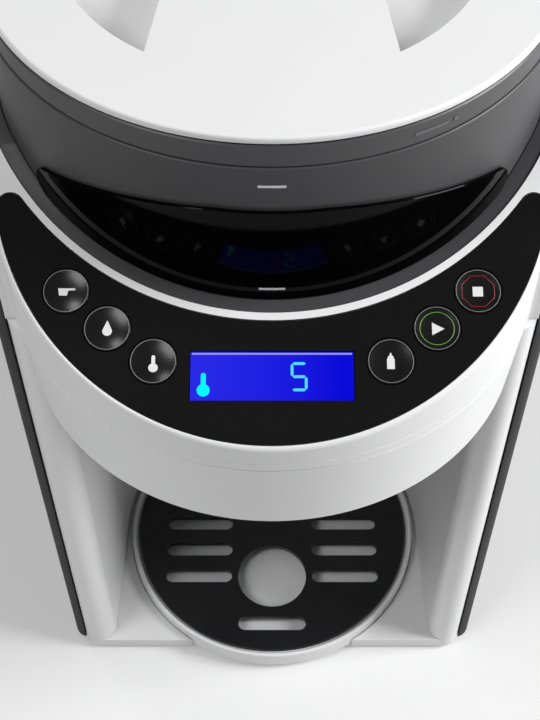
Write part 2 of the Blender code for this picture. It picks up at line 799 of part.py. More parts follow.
def build_chassis_plate():
    """Plate over the bay that carries the gears, the motor and the funnel's rails."""
    inset = SKIRT_STEP + SKIRT_TAPER + WALL + GAP
    outline = body_outline(inset, REAR_PANEL_Y - WALL - GAP, WALL)
    wheel, idler, pinion = gear_centres()
    holes = [circle(chute_place(), OUTLET_RADIUS), circle(wheel, SPIGOT_RADIUS + GAP),
             circle(idler, PIN_RADIUS + GAP), circle(pinion, SHAFT_RADIUS + 2 * GAP),
             circle((WATER_X, AXIS_Y - WATER_LEAD), WATER_RADIUS + GAP),
             circle((HEATER_X, REAR_PANEL_Y - HEATER_AHEAD), HOSE_RADIUS + WALL)]
    low = BAY_TOP_Z + GAP
    part("chassis_plate", plate("chassis_plate", [outline] + holes, low, low + WALL), GRAPHITE, 0.5)


def build_top_deck():
    """White top of the head: sloped panel seat, level deck and the container's round well."""
    top = HEIGHT - OVERRUN
    deck = plate("top_deck", [body_outline(0, REAR_PANEL_Y, WALL)], SEAM_Z, top)
    hollow = plate("deck_hollow", [body_outline(WALL + GAP, REAR_PANEL_Y - WALL, WALL)],
                   SEAM_Z - OVERRUN, HEIGHT)
    cut(hollow, roof_tool("hollow_roof", ROOF))
    cut(deck, hollow)
    under = WELL_FLOOR_Z - WELL_FLOOR_THICK
    foot = HALF_WIDTH - WALL - 2 * GAP
    profile = [(0, top - OVERRUN), (RING_RADIUS, top - OVERRUN), (RING_RADIUS, SEAM_Z), (foot, SEAM_Z),
               (foot, under), (0, under)]
    join(deck, turned("well_body", profile, (0, AXIS_Y)))
    cut(deck, roof_tool("deck_roof", 0))
    cut(deck, cylinder("well_bore", (0, AXIS_Y), WELL_RADIUS, WELL_FLOOR_Z, HEIGHT + OVERRUN))
    cut(deck, panel_plate("panel_seat", GAP, -PANEL_THICK - GAP, ROOF))
    cut(deck, panel_plate("panel_opening", -PANEL_LEDGE, -ROOF * 2, ROOF))
    x, y = chute_place()
    cut(deck, cylinder("chute_hole", (x, y), OUTLET_RADIUS, under - OVERRUN, WELL_FLOOR_Z + OVERRUN))
    cut(deck, cylinder("hub_hole", (0, AXIS_Y), HUB_RADIUS + HUB_CLEAR, under - OVERRUN,
                       WELL_FLOOR_Z + OVERRUN))
    part("top_deck", deck, WHITE, 0.3)


# Control panel, on its own sloped frame

def panel_frame():
    """The panel's plane: X across, Y up the slope, Z out of it. It starts at the head's front edge."""
    return Matrix.Translation((0, FRONT_Y, PANEL_FRONT_Z)) @ Matrix.Rotation(SLOPE, 4, "X")


def on_slope(y):
    """Distance up the slope of a place along the depth."""
    return (y - FRONT_Y) / math.cos(SLOPE)


def panel_plate(name, grow, low, high, holes=()):
    """The crescent of the control panel, grown by a margin, between two heights off its plane."""
    bulge = PANEL_RADIUS - PANEL_TIP
    ring = RING_RADIUS + PANEL_TIP
    tip_y = (bulge ** 2 - ring ** 2 - HEAD_REACH ** 2) / (2 * HEAD_REACH)
    tip_x = math.sqrt(ring ** 2 - tip_y ** 2)
    outer_end = math.atan2(tip_y + HEAD_REACH, tip_x)
    inner_end = math.atan2(tip_y, tip_x)
    right = arc((0, HEAD_Y), PANEL_RADIUS + grow, -math.pi / 2, outer_end)
    right += arc((tip_x, AXIS_Y + tip_y), PANEL_TIP + grow, outer_end, inner_end + math.pi)
    right += arc((0, AXIS_Y), RING_RADIUS - grow, inner_end, -math.pi / 2)
    outline = [(x, on_slope(y)) for x, y in mirrored(right)]
    return plate(name, [outline] + list(holes), low, high, panel_frame())


def button_centres():
    """Button places on the sloped plane."""
    return {name: (HEAD_RADIUS * across, on_slope(AXIS_Y + HEAD_RADIUS * along))
            for name, (across, along) in BUTTON_SHARES.items()}


def build_panel():
    """Glossy front panel with its button holes and display opening, and what lies behind it."""
    display_at = (0, on_slope(AXIS_Y - DISPLAY_AHEAD))
    holes = [circle(centre, BUTTON_RADIUS + GAP) for centre in button_centres().values()]
    holes.append(rectangle(display_at, DISPLAY_WIDE + 2 * GAP, DISPLAY_DEEP + 2 * GAP))
    panel = panel_plate("control_panel", 0, -PANEL_THICK, 0, holes)
    part("control_panel", panel, BLACK, 0.12)

    frame = panel_frame()
    screen = plate("display_window", [rectangle(display_at, DISPLAY_WIDE, DISPLAY_DEEP)],
                   -GAP - DISPLAY_THICK, -GAP, frame)
    part("display_window", screen, SCREEN_BLUE, 0.08)
    module_top = -PANEL_THICK - GAP
    module = plate("display_module", [rectangle(display_at, MODULE_WIDE, MODULE_DEEP)],
                   module_top - MODULE_THICK, module_top, frame)
    part("display_module", module, GRAPHITE, 0.5)
    board = panel_plate("control_board", -BOARD_INSET, -BOARD_DROP - BOARD_THICK, -BOARD_DROP)
    part("control_board", board, BOARD_GREEN, 0.5)


def build_buttons():
    """Round dished buttons with a flange that keeps them under the panel."""
    flange_top = -PANEL_THICK - GAP
    flange_low = flange_top - BUTTON_TRAVEL
    foot = -BOARD_DROP + BUTTON_TRAVEL + GAP
    flange = BUTTON_RADIUS + BUTTON_RIM
    dish = BUTTON_RADIUS - BUTTON_RIM
    profile = [(0, BUTTON_PROUD - BUTTON_DISH), (dish, BUTTON_PROUD), (BUTTON_RADIUS, BUTTON_PROUD),
               (BUTTON_RADIUS, flange_top), (flange, flange_top), (flange, flange_low),
               (BUTTON_STEM, flange_low),
               (BUTTON_STEM, foot), (0, foot)]
    for name, (x, y) in button_centres().items():
        button = turned(name, profile, (0, 0))
        button.matrix_world = panel_frame() @ Matrix.Translation((x, y, 0))
        part(name, button, BLACK, 0.1)


# Powder container, which lifts out of the well

def build_container():
    """Smoky wall, dark collar, hopper base with its flange, and the level window in front."""
    centre = (0, AXIS_Y)
    inner = CONTAINER_RADIUS - WALL
    floor_low = WELL_FLOOR_Z + GAP
    floor_top = floor_low + HOPPER_FLOOR
    step_top = floor_top + HOPPER_STEP
    hopper_top = step_top + HOPPER_RISE
    flange_outer = WELL_RADIUS - GAP
    flange_inner = CONTAINER_RADIUS + GAP
    bore = HUB_RADIUS + HUB_CLEAR
    wheel_pit = WHEEL_RADIUS + 2 * GAP
    profile = [(flange_outer, DECK_Z + OVERRUN), (flange_outer, floor_low), (bore, floor_low),
               (bore, floor_top),
               (wheel_pit, floor_top), (wheel_pit, step_top), (inner, hopper_top), (flange_inner, hopper_top),
               (flange_inner, DECK_Z + OVERRUN)]
    base = turned("container_base", profile, centre, closed=True)
    cut(base, roof_tool("flange_top", FLANGE_DROP))
    x, y = chute_place()
    cut(base, cylinder("outlet_hole", (x, y), OUTLET_RADIUS, floor_low - OVERRUN, floor_top + OVERRUN))
    part("container_base", base, GRAPHITE, 0.4)

    low = hopper_top + GAP
    high = COLLAR_Z - GAP
    profile = [(CONTAINER_RADIUS, high), (CONTAINER_RADIUS, low), (inner, low), (inner, high)]
    part("powder_container", turned("powder_container", profile, centre, closed=True), SMOKE, 0.25)

    profile = [(COLLAR_RADIUS, COLLAR_TOP_Z), (COLLAR_RADIUS, COLLAR_Z), (inner, COLLAR_Z),
               (inner, COLLAR_TOP_Z)]
    part("container_collar", turned("container_collar", profile, centre, closed=True), GRAPHITE, 0.35)

    outer = flange_inner + WINDOW_THICK
    profile = [(outer, HEIGHT), (outer, SEAM_Z), (flange_inner, SEAM_Z), (flange_inner, HEIGHT)]
    window = turned("level_window", profile, centre, closed=True)
    front = AXIS_Y - CONTAINER_RADIUS
    reach = (WINDOW_TOP_Z - slope_z(front)) / (math.tan(SLOPE) + math.tan(WINDOW_FALL))
    wedge = [(front - OVERRUN, slope_z(front - OVERRUN)), (front + reach, slope_z(front + reach)),
             (front - OVERRUN, WINDOW_TOP_Z + OVERRUN * math.tan(WINDOW_FALL))]
    across = Matrix.Rotation(math.pi / 2, 4, "Z") @ Matrix.Rotation(math.pi / 2, 4, "X")
    combine(window, plate("window_shape", [wedge], -HALF_WIDTH, HALF_WIDTH, across), "INTERSECT")
    part("level_window", window, BLACK, 0.08)


def hex_outline(radius):
    """The six-sided drive between the gear and the powder wheel."""
    return circle((0, AXIS_Y), radius, 6)


def build_powder_wheel():
    """Dosing wheel with through pockets, and the stirrer that turns with it."""
    low = WELL_FLOOR_Z + HOPPER_FLOOR + 2 * GAP
    high = low + WHEEL_THICK
    places = [math.pi / 2 + math.tau * i / POCKETS for i in range(POCKETS)]
    pockets = [circle((OUTLET_REACH * math.cos(a), AXIS_Y + OUTLET_REACH * math.sin(a)), POCKET_RADIUS)
               for a in places]
    rim = circle((0, AXIS_Y), WHEEL_RADIUS)
    wheel = plate("powder_wheel", [rim, hex_outline(HEX_RADIUS + GAP)] + pockets, low, high)
    part("powder_wheel", pivot(wheel, (0, AXIS_Y, low)), WHITE, 0.4)

    hub_low = high + GAP
    hub_top = hub_low + STIRRER_HUB_TALL
    arm_low = WELL_FLOOR_Z + HOPPER_FLOOR + HOPPER_STEP + HOPPER_RISE - ARM_TALL / 2
    profile = [(0, hub_top), (STIRRER_HUB - WALL, hub_top), (STIRRER_HUB, hub_top - WALL),
               (STIRRER_HUB, hub_low),
               (0, hub_low)]
    stirrer = turned("stirrer", profile, (0, AXIS_Y))
    for i in range(STIRRER_ARMS):
        arm = block("stirrer_arm", (0, -ARM_WIDTH / 2, arm_low),
                    (STIRRER_REACH, ARM_WIDTH / 2, arm_low + ARM_TALL))
        spin = Matrix.Rotation(math.tau * i / STIRRER_ARMS, 4, "Z")
        arm.matrix_world = Matrix.Translation((0, AXIS_Y, 0)) @ spin @ Matrix.Translation(arm.location)
        join(stirrer, arm)
    socket = plate("stirrer_socket", [hex_outline(HEX_RADIUS + GAP)], hub_low - OVERRUN, drive_top() + GAP)
    part("stirrer", cut(stirrer, socket), WHITE, 0.4)


def drive_top():
    """Top of the hexagonal drive, inside the stirrer's hub."""
    return WELL_FLOOR_Z + HOPPER_FLOOR + WHEEL_THICK + STIRRER_HUB_TALL / 2


# Lid

def grip_outline(side, grow):
    """One of the two finger pockets: the lid's round edge outside, a waisted bar between them."""
    radius = GRIP_RADIUS + grow
    start = math.acos((GRIP_TIP - grow) / radius)
    outline = arc((0, AXIS_Y), radius, -start, start) + [(GRIP_WAIST - grow, AXIS_Y)]
    return [(side * x, y) for x, y in outline]


def build_lid():
    """Cap with two finger pockets, the cup-shaped plug that it turns on, and the plug's gasket."""
    centre = (0, AXIS_Y)
    neck = CONTAINER_RADIUS - WALL - LID_NECK_GAP
    rim_low = HEIGHT - LID_EDGE
    cap_low = HEIGHT - LID_TOP
    profile = [(0, HEIGHT), (LID_RADIUS, HEIGHT), (LID_RADIUS + EDGE, HEIGHT - EDGE),
               (LID_RADIUS + EDGE, rim_low),
               (neck, rim_low), (neck, cap_low), (0, cap_low)]
    lid = turned("powder_lid", profile, centre)
    well_low = HEIGHT - GRIP_DEPTH - LID_TOP
    for side, word in ((-1, "left"), (1, "right")):
        join(lid, plate("grip_wall_" + word, [grip_outline(side, LID_TOP)], well_low, HEIGHT - LID_TOP / 2))
    for side, word in ((-1, "left"), (1, "right")):
        pocket = plate("grip_" + word, [grip_outline(side, 0)], HEIGHT - GRIP_DEPTH, HEIGHT + OVERRUN)
        cut(lid, pocket)
    part("powder_lid", lid, WHITE, 0.4)

    floor_top = HEIGHT - LID_DEPTH - GAP
    floor_low = floor_top - LINER_THICK
    wall_top = cap_low - GAP
    groove = neck - GASKET_THICK
    middle = (floor_top + floor_low) / 2
    half = GASKET_THICK / 2
    profile = [(0, floor_top), (neck - WALL, floor_top), (neck - WALL, wall_top), (neck, wall_top),
               (neck, middle + half + GAP), (groove, middle + half + GAP),
               (groove, middle - half - GAP), (neck, middle - half - GAP), (neck, floor_low), (0, floor_low)]
    part("lid_liner", turned("lid_liner", profile, centre), WHITE, 0.45)
    outer = neck + LID_NECK_GAP - GAP
    profile = [(outer, middle + half), (outer, middle - half), (groove + GAP, middle - half),
               (groove + GAP, middle + half)]
    part("lid_gasket", turned("lid_gasket", profile, centre, closed=True), SILICONE, 0.6)


# Powder drive under the well

def build_drive():
    """Gear with the hexagonal drive, idler on its pin, motor with its pinion, and the powder chute."""
    wheel, idler, pinion = gear_centres()
    plate_top = BAY_TOP_Z + GAP + WALL
    low = plate_top + GAP
    gear_low = low + GEAR_LIFT
    gear_high = gear_low + GEAR_THICK
    hub_top = WELL_FLOOR_Z + HOPPER_FLOOR

    profile = [(0, hub_top), (HUB_RADIUS, hub_top), (HUB_RADIUS, low), (SPIGOT_RADIUS, low),
               (SPIGOT_RADIUS, low - WALL), (0, low - WALL)]
    gear = turned("drive_gear", profile, wheel)
    teeth = moved(gear_outline(WHEEL_TEETH, math.pi / 2), wheel)
    join(gear, plate("drive_teeth", [teeth], gear_low, gear_high))
    join(gear, plate("drive_hex", [hex_outline(HEX_RADIUS)], hub_top - OVERRUN, drive_top()))
    part("drive_gear", gear, SILICONE, 0.5)

    phase = -math.pi / 2 + math.pi / IDLER_TEETH
    teeth = moved(gear_outline(IDLER_TEETH, phase), idler)
    bore = circle(idler, PIN_RADIUS + GAP)
    gear = plate("idler_gear", [teeth, bore], low, gear_high)
    part("idler_gear", pivot(gear, (*idler, low)), SILICONE, 0.5)
    pin = cylinder("idler_pin", idler, PIN_RADIUS, low - WALL, gear_high + GEAR_LIFT / 2)
    part("idler_pin", pin, STEEL, 0.3, 1.0)

    phase = -math.pi / 2 + math.pi / PINION_TEETH
    teeth = moved(gear_outline(PINION_TEETH, phase), pinion)
    gear = plate("motor_pinion", [teeth], low, gear_high)
    shaft_low = BAY_TOP_Z - SHAFT_DEPTH
    join(gear, cylinder("motor_shaft", pinion, SHAFT_RADIUS, shaft_low, low + GEAR_THICK / 2))
    part("motor_pinion", pivot(gear, (*pinion, low)), STEEL, 0.3, 1.0)

    motor_low = BAY_TOP_Z - MOTOR_TALL
    bore = SHAFT_RADIUS + GAP
    profile = [(MOTOR_RADIUS, BAY_TOP_Z - EDGE), (MOTOR_RADIUS, motor_low + EDGE),
               (MOTOR_RADIUS - EDGE, motor_low),
               (0, motor_low), (0, shaft_low - GAP), (bore, shaft_low - GAP), (bore, BAY_TOP_Z),
               (MOTOR_RADIUS - EDGE, BAY_TOP_Z), (MOTOR_RADIUS, BAY_TOP_Z - EDGE)]
    motor = turned("gear_motor", profile[4:-1] + profile[:4], pinion)
    part("gear_motor", motor, STEEL, 0.35, 1.0)

    under = WELL_FLOOR_Z - WELL_FLOOR_THICK - GAP
    outer = OUTLET_RADIUS + CHUTE_WALL
    profile = [(outer, under), (outer, low), (OUTLET_RADIUS, low), (OUTLET_RADIUS, under)]
    part("powder_chute", turned("powder_chute", profile, chute_place(), closed=True), WHITE, 0.4)


# Mixing funnel and its rails

def funnel_levels():
    """Underside and top of the funnel's flange."""
    top = BAY_TOP_Z - FUNNEL_CLEAR
    return top - FUNNEL_FLANGE, top


def build_funnel():
    """Mixing funnel that slides forward on two rails, with its cover."""
    flange_low, flange_top = funnel_levels()
    centre = (0, BAY_Y)
    cone_top = flange_low - FUNNEL_RIM / 2
    cone_low = cone_top - FUNNEL_CONE
    tip = cone_low - NOZZLE_LONG
    nozzle = NOZZLE_RADIUS + FUNNEL_WALL
    outer = FUNNEL_RADIUS + FUNNEL_WALL
    lip = flange_top - FUNNEL_WALL / 2
    profile = [(0, lip), (outer, lip), (outer, cone_top), (nozzle, cone_low), (nozzle, tip), (0, tip)]
    funnel = turned("mixing_funnel", profile, centre)
    middle_y = BAY_Y + (FUNNEL_BACK - FUNNEL_HALF) / 2
    outline = rectangle((0, middle_y), 2 * FUNNEL_HALF, FUNNEL_BACK + FUNNEL_HALF)
    join(funnel, plate("funnel_flange", [outline], flange_low, flange_top))
    front = BAY_Y - FUNNEL_HALF
    tab = block("funnel_tab", (-TAB_WIDE / 2, front - TAB_LONG, flange_low - FUNNEL_RIM),
                (TAB_WIDE / 2, front + FUNNEL_WALL, flange_top - EDGE), EDGE)
    join(funnel, tab)
    profile = [(0, BAY_TOP_Z), (FUNNEL_RADIUS, BAY_TOP_Z), (FUNNEL_RADIUS, cone_top + FUNNEL_WALL),
               (NOZZLE_RADIUS, cone_low + FUNNEL_WALL), (NOZZLE_RADIUS, tip - OVERRUN), (0, tip - OVERRUN)]
    cut(funnel, turned("funnel_inside", profile, centre))
    part("mixing_funnel", funnel, SILICONE, 0.4)

    low = flange_top + GAP
    holes = [circle(chute_place(), OUTLET_RADIUS),
             circle((WATER_X, AXIS_Y - WATER_LEAD), WATER_RADIUS * 2)]
    cover = plate("funnel_cover", [circle(centre, outer)] + holes, low, low + COVER_THICK)
    part("funnel_cover", cover, WHITE, 0.4)

    inner = FUNNEL_HALF + RAIL_SIDE
    lip_top = flange_low - GAP
    for name, side in (("funnel_rail_left", -1), ("funnel_rail_right", 1)):
        web = [side * inner, side * (inner + RAIL_WALL)]
        rail = block(name, (min(web), BAY_Y - FUNNEL_HALF, lip_top - RAIL_WALL),
                     (max(web), BAY_Y + FUNNEL_BACK, BAY_TOP_Z))
        lip = [side * (inner + RAIL_WALL - RAIL_LIP), side * (inner + RAIL_WALL / 2)]
        join(rail, block(name + "_lip", (min(lip), BAY_Y - FUNNEL_HALF, lip_top - RAIL_WALL),
                         (max(lip), BAY_Y + FUNNEL_BACK, lip_top)))
        part(name, rail, WHITE, 0.4)


# Water tank at the back

def build_tank():
    """Open tank with an outlet hole and hinge ears, its lid with the hinge rod, port and seal."""
    low = TANK_BASE_TOP_Z + GAP
    lid_low = DECK_Z - TANK_LID_THICK
    top = lid_low - GAP
    tank = plate("water_tank", [tank_outline(0)], low, top)
    cut(tank, plate("tank_inside", [tank_outline(TANK_WALL)], low + TANK_WALL, top + OVERRUN))
    port = (0, REAR_PANEL_Y + PORT_BACK)
    seal_radius = PORT_RADIUS + GAP + GROMMET_WALL
    cut(tank, cylinder("tank_outlet", port, seal_radius + GAP, low - OVERRUN, low + OVERRUN))
    front = REAR_PANEL_Y + GAP
    hinge_at = (0, front + HINGE_BACK, DECK_Z - HINGE_DROP)
    for side in (-1, 1):
        middle = side * EAR_X
        ear = block("tank_ear", (middle - EAR_THICK / 2, front, top - OVERRUN),
                    (middle + EAR_THICK / 2, front + EAR_DEEP, DECK_Z - EDGE))
        join(tank, ear)
    bore = rod("hinge_bore", hinge_at, HINGE_RADIUS + GAP, 2 * EAR_X + 2 * EAR_THICK, "X")
    cut(tank, bore)
    part("water_tank", tank, SMOKE, 0.15)

    lid = plate("tank_lid", [tank_outline(0)], lid_low, DECK_Z)
    cut(lid, block("lid_setback", (-HALF_WIDTH - OVERRUN, front - OVERRUN, top - OVERRUN),
                   (HALF_WIDTH + OVERRUN, front + LID_SETBACK, DECK_Z + OVERRUN)))
    for side in (-1, 1):
        middle = side * EAR_X
        notch = block("ear_notch", (middle - EAR_THICK / 2 - GAP, front - OVERRUN, top - OVERRUN),
                      (middle + EAR_THICK / 2 + GAP, front + EAR_DEEP + EDGE, DECK_Z + OVERRUN))
        cut(lid, notch)
    join(lid, rod("hinge_rod", hinge_at, HINGE_RADIUS, 2 * EAR_X + EAR_THICK + 2 * WALL, "X"))
    part("tank_lid", pivot(lid, hinge_at), GRAPHITE, 0.35)

    lip_high = low + TANK_WALL + GAP
    profile = [(seal_radius + GROMMET_LIP, lip_high + GROMMET_LIP), (seal_radius + GROMMET_LIP, lip_high),
               (seal_radius, lip_high), (seal_radius, low), (PORT_RADIUS + GAP, low),
               (PORT_RADIUS + GAP, lip_high + GROMMET_LIP)]
    part("tank_seal", turned("tank_seal", profile, port, closed=True), RUBBER, 0.7)

    deck_low = TANK_BASE_TOP_Z - WALL
    flange_top = deck_low - GAP
    profile = [(PORT_RADIUS, TANK_BASE_TOP_Z + PORT_RISE), (PORT_RADIUS, flange_top),
               (PORT_FLANGE, flange_top),
               (PORT_FLANGE, flange_top - WALL), (PORT_BORE + WALL / 2, flange_top - WALL),
               (PORT_BORE + WALL / 2, flange_top - 2 * WALL), (PORT_BORE, flange_top - 2 * WALL),
               (PORT_BORE, TANK_BASE_TOP_Z + PORT_RISE)]
    part("tank_port", turned("tank_port", profile, port, closed=True), WHITE, 0.4)


# Water works and electrics inside the body

def build_works():
    """Pump, heater, nozzle, hoses and the main board."""
    low = BASE_TOP_Z + GAP
    pump_y = REAR_PANEL_Y - PUMP_AHEAD
    wide, deep, tall = PUMP_HEAD
    head_top = low + tall
    pump = block("pump", (PUMP_X - wide / 2, pump_y - deep / 2, low),
                 (PUMP_X + wide / 2, pump_y + deep / 2, head_top))
    motor = cylinder("pump_motor", (PUMP_X, pump_y), PUMP_MOTOR_RADIUS, head_top - WALL,
                     head_top + PUMP_MOTOR_TALL)
    part("pump", join(pump, motor), STEEL, 0.4, 1.0)

    heater_y = REAR_PANEL_Y - HEATER_AHEAD
    top = low + HEATER_TALL
    profile = [(0, top), (HEATER_NECK, top), (HEATER_NECK, top - HEATER_CAP),
               (HEATER_RADIUS - EDGE, top - HEATER_CAP),
               (HEATER_RADIUS, top - HEATER_CAP - EDGE), (HEATER_RADIUS, low), (0, low)]
    part("heater", turned("heater", profile, (HEATER_X, heater_y)), STEEL, 0.3, 1.0)

    board_wide, thick, board_tall = MAIN_BOARD
    board_y = REAR_PANEL_Y - WALL - STANDOFF - GAP
    board = block("main_board", (-board_wide / 2, board_y - thick, MAIN_BOARD_Z),
                  (board_wide / 2, board_y, MAIN_BOARD_Z + board_tall))
    part("main_board", board, BOARD_GREEN, 0.5)

    plate_top = BAY_TOP_Z + GAP + WALL
    seat = plate_top + GAP
    neck_top = seat + GEAR_LIFT
    flange = WATER_RADIUS + WALL
    bore = WATER_RADIUS / 2
    profile = [(WATER_RADIUS, neck_top), (WATER_RADIUS, seat + WALL), (flange, seat + WALL), (flange, seat),
               (WATER_RADIUS, seat), (WATER_RADIUS, seat - WALL), (bore, seat - WALL), (bore, neck_top)]
    nozzle_at = (WATER_X, AXIS_Y - WATER_LEAD)
    part("water_nozzle", turned("water_nozzle", profile, nozzle_at, closed=True), SILICONE, 0.4)

    port_y = REAR_PANEL_Y + PORT_BACK
    port_z = TANK_BASE_TOP_Z - 3 * WALL - 3 * GAP
    bend = 2 * HOSE_RADIUS
    hose("inlet_hose", [(0, port_y, port_z), (0, port_y, port_z - HOSE_RADIUS),
                        (-HOSE_RADIUS, port_y - HOSE_RADIUS / 2, HOSE_LOW_Z + HOSE_RADIUS / 2),
                        (-2 * bend, port_y - HOSE_RADIUS, HOSE_LOW_Z),
                        (PUMP_X + bend, port_y - bend, HOSE_LOW_Z),
                        (PUMP_X, port_y - 2 * bend, HOSE_LOW_Z),
                        (PUMP_X, REAR_PANEL_Y, HOSE_LOW_Z),
                        (PUMP_X, pump_y + deep / 2 + 2 * GAP, HOSE_LOW_Z)], HOSE_RADIUS)
    start = PUMP_X + wide / 2 + 3 * GAP
    end = HEATER_X - HEATER_RADIUS - 3 * GAP
    rise = HOSE_LOW_Z + HEATER_CAP
    hose("pump_hose", [(start, pump_y, HOSE_LOW_Z), (start + bend, pump_y, HOSE_LOW_Z),
                       (end - bend, heater_y, rise), (end, heater_y, rise)], HOSE_RADIUS)
    nozzle_y = AXIS_Y - WATER_LEAD
    side_x = HEATER_X + HEATER_RADIUS - bend
    knee_z = (plate_top + HOSE_HIGH_Z) / 2
    hose("outlet_hose", [(HEATER_X, heater_y, top + 2 * GAP), (HEATER_X, heater_y, BAY_TOP_Z - HEATER_CAP),
                         (HEATER_X, heater_y, plate_top),
                         (HEATER_X + HOSE_RADIUS, heater_y - bend, HOSE_HIGH_Z),
                         (side_x, heater_y - HEATER_RADIUS, HOSE_HIGH_Z),
                         (side_x, BAY_Y + BAY_RADIUS / 2, HOSE_HIGH_Z),
                         (side_x, AXIS_Y, HOSE_HIGH_Z), (side_x - bend, AXIS_Y - WATER_LEAD / 2, HOSE_HIGH_Z),
                         (WATER_X + bend, nozzle_y, HOSE_HIGH_Z), (WATER_X, nozzle_y, knee_z + HOSE_RADIUS),
                         (WATER_X, nozzle_y, neck_top + 2 * GAP)], HOSE_RADIUS)


build_base()
build_feet()
build_tray()
build_bay_wall()
build_side_panels()
build_rear_panel()
build_tank_base()
build_head_skirt()
build_chassis_plate()
build_top_deck()
build_panel()
build_buttons()
build_container()
build_powder_wheel()
build_lid()
build_drive()
build_funnel()
build_tank()
build_works()
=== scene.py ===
"""Countertop formula maker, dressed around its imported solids. Metres, +Z up, front towards -Y."""
import json
import math

import bmesh
import bpy
from mathutils import Matrix, Vector

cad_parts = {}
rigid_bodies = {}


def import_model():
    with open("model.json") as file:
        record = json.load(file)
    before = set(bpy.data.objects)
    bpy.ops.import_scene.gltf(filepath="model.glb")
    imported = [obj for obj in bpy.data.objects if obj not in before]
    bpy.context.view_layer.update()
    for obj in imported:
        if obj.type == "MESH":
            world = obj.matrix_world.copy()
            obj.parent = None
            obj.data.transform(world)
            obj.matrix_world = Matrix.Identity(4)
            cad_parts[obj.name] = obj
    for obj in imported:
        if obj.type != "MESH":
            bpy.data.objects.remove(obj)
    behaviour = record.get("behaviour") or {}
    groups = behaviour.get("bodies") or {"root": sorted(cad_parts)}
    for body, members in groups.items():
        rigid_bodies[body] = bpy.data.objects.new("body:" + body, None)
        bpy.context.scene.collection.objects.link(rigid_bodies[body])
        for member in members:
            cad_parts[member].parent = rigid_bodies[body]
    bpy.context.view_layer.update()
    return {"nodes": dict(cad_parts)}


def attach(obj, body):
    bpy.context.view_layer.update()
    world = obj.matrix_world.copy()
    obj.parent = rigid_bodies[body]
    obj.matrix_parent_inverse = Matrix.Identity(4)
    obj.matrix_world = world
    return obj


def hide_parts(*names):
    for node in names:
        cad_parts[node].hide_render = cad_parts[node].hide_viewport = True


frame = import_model()


# Camera
# The photograph looks down on the head from close in front. The small shift
# is the sideways framing only.
def shown(name, data):
    """A new object in the scene."""
    thing = bpy.data.objects.new(name, data)
    bpy.context.scene.collection.objects.link(thing)
    return thing


camera_data = bpy.data.cameras.new("camera")
camera_data.lens = 65.6
camera_data.sensor_width = 36.0
camera_data.shift_x = -0.0028
camera_data.clip_start = 0.01
camera = shown("camera", camera_data)
camera.location = (0, -0.36875, 0.602)
camera.rotation_euler = (math.pi / 2 - 0.92, 0, 0)
bpy.context.scene.camera = camera


# Base plate
# White moulded plate that everything stands on. It carries the round seat of
# the drip tray and four sockets for the rubber feet.
HEIGHT = 0.372
HALF_WIDTH = 0.097
DEPTH = 0.3345
FRONT_Y = -DEPTH / 2
REAR_Y = DEPTH / 2
HEAD_RADIUS = 0.0845
HEAD_REACH = 0.046
HEAD_Y = FRONT_Y + HEAD_RADIUS
AXIS_Y = HEAD_Y + HEAD_REACH
BAY_BACK = 0.008
BAY_Y = AXIS_Y + BAY_BACK
TANK_SPACE = 0.0555
REAR_PANEL_Y = REAR_Y - TANK_SPACE
WALL = 0.0025
GAP = 0.0003
OVERRUN = 0.004
BASE_LOW_Z = 0.0025
BASE_TOP_Z = 0.009
BAY_TOP_Z = 0.252
SEAM_Z = 0.2851
FOOT_HEIGHT = 0.004
FOOT_RADIUS = 0.009
TRAY_RADIUS = 0.0715
NOSE_X = 0.084
NOSE_LEAD = 0.045
NOSE_RADIUS = 0.0075
SHOULDER_LEAD = 0.048
SHOULDER_RADIUS = 0.007
FLARE_RADIUS = 0.0055
SHOULDER = (HALF_WIDTH - SHOULDER_RADIUS, AXIS_Y - SHOULDER_LEAD + SHOULDER_RADIUS)
FLANK_X = NOSE_X + NOSE_RADIUS
TANK_CORNER = 0.030
SMOOTHNESS = 0.000012
SEWN = 0.00003
TOUCHING = 0.000001
ROUNDED_FROM = math.radians(35.0)
SHARP_FROM = math.radians(42.0)

BENCH = bpy.data.collections.new("bench")
bpy.context.scene.collection.children.link(BENCH)


def sides(radius):
    """Flat sides of a round face, fine enough to look round close up."""
    return max(24, math.ceil(math.pi / math.acos(1 - SMOOTHNESS / radius)))


def on_bench(name, data):
    """An object that is still being worked on."""
    blank = bpy.data.objects.new("bench_" + name, data)
    BENCH.objects.link(blank)
    return blank


def settled(name, shape):
    """Ends the work on a shape and lays it on the bench."""
    mesh = bpy.data.meshes.new(name)
    shape.to_mesh(mesh)
    shape.free()
    return on_bench(name, mesh)


def turned(name, profile, centre, closed=False):
    """A profile of radius and height pairs, turned about an upright axis."""
    count = sides(max(radius for radius, height in profile))
    shape = bmesh.new()
    rings = []
    for radius, height in profile:
        turns = [math.tau * i / count for i in range(count)] if radius else [0.0]
        spots = [(centre[0] + radius * math.cos(a), centre[1] + radius * math.sin(a), height) for a in turns]
        rings.append([shape.verts.new(spot) for spot in spots])
    pairs = list(zip(rings, rings[1:]))
    if closed:
        pairs.append((rings[-1], rings[0]))
    for upper, lower in pairs:
        for i in range(count):
            j = (i + 1) % count
            around = ((upper, i), (upper, j), (lower, j), (lower, i))
            corners = [ring[place % len(ring)] for ring, place in around]
            shape.faces.new(list(dict.fromkeys(corners)))
    bmesh.ops.recalc_face_normals(shape, faces=shape.faces)
    return settled(name, shape)


def cylinder(name, centre, radius, low, high):
    """An upright cylinder between two heights."""
    return turned(name, [(0, high), (radius, high), (radius, low), (0, low)], centre)


def arc(centre, radius, start, end):
    """Points along an arc."""
    count = max(3, round(abs(end - start) / math.tau * sides(radius)))
    turns = [start + (end - start) * i / count for i in range(count + 1)]
    return [(centre[0] + radius * math.cos(a), centre[1] + radius * math.sin(a)) for a in turns]


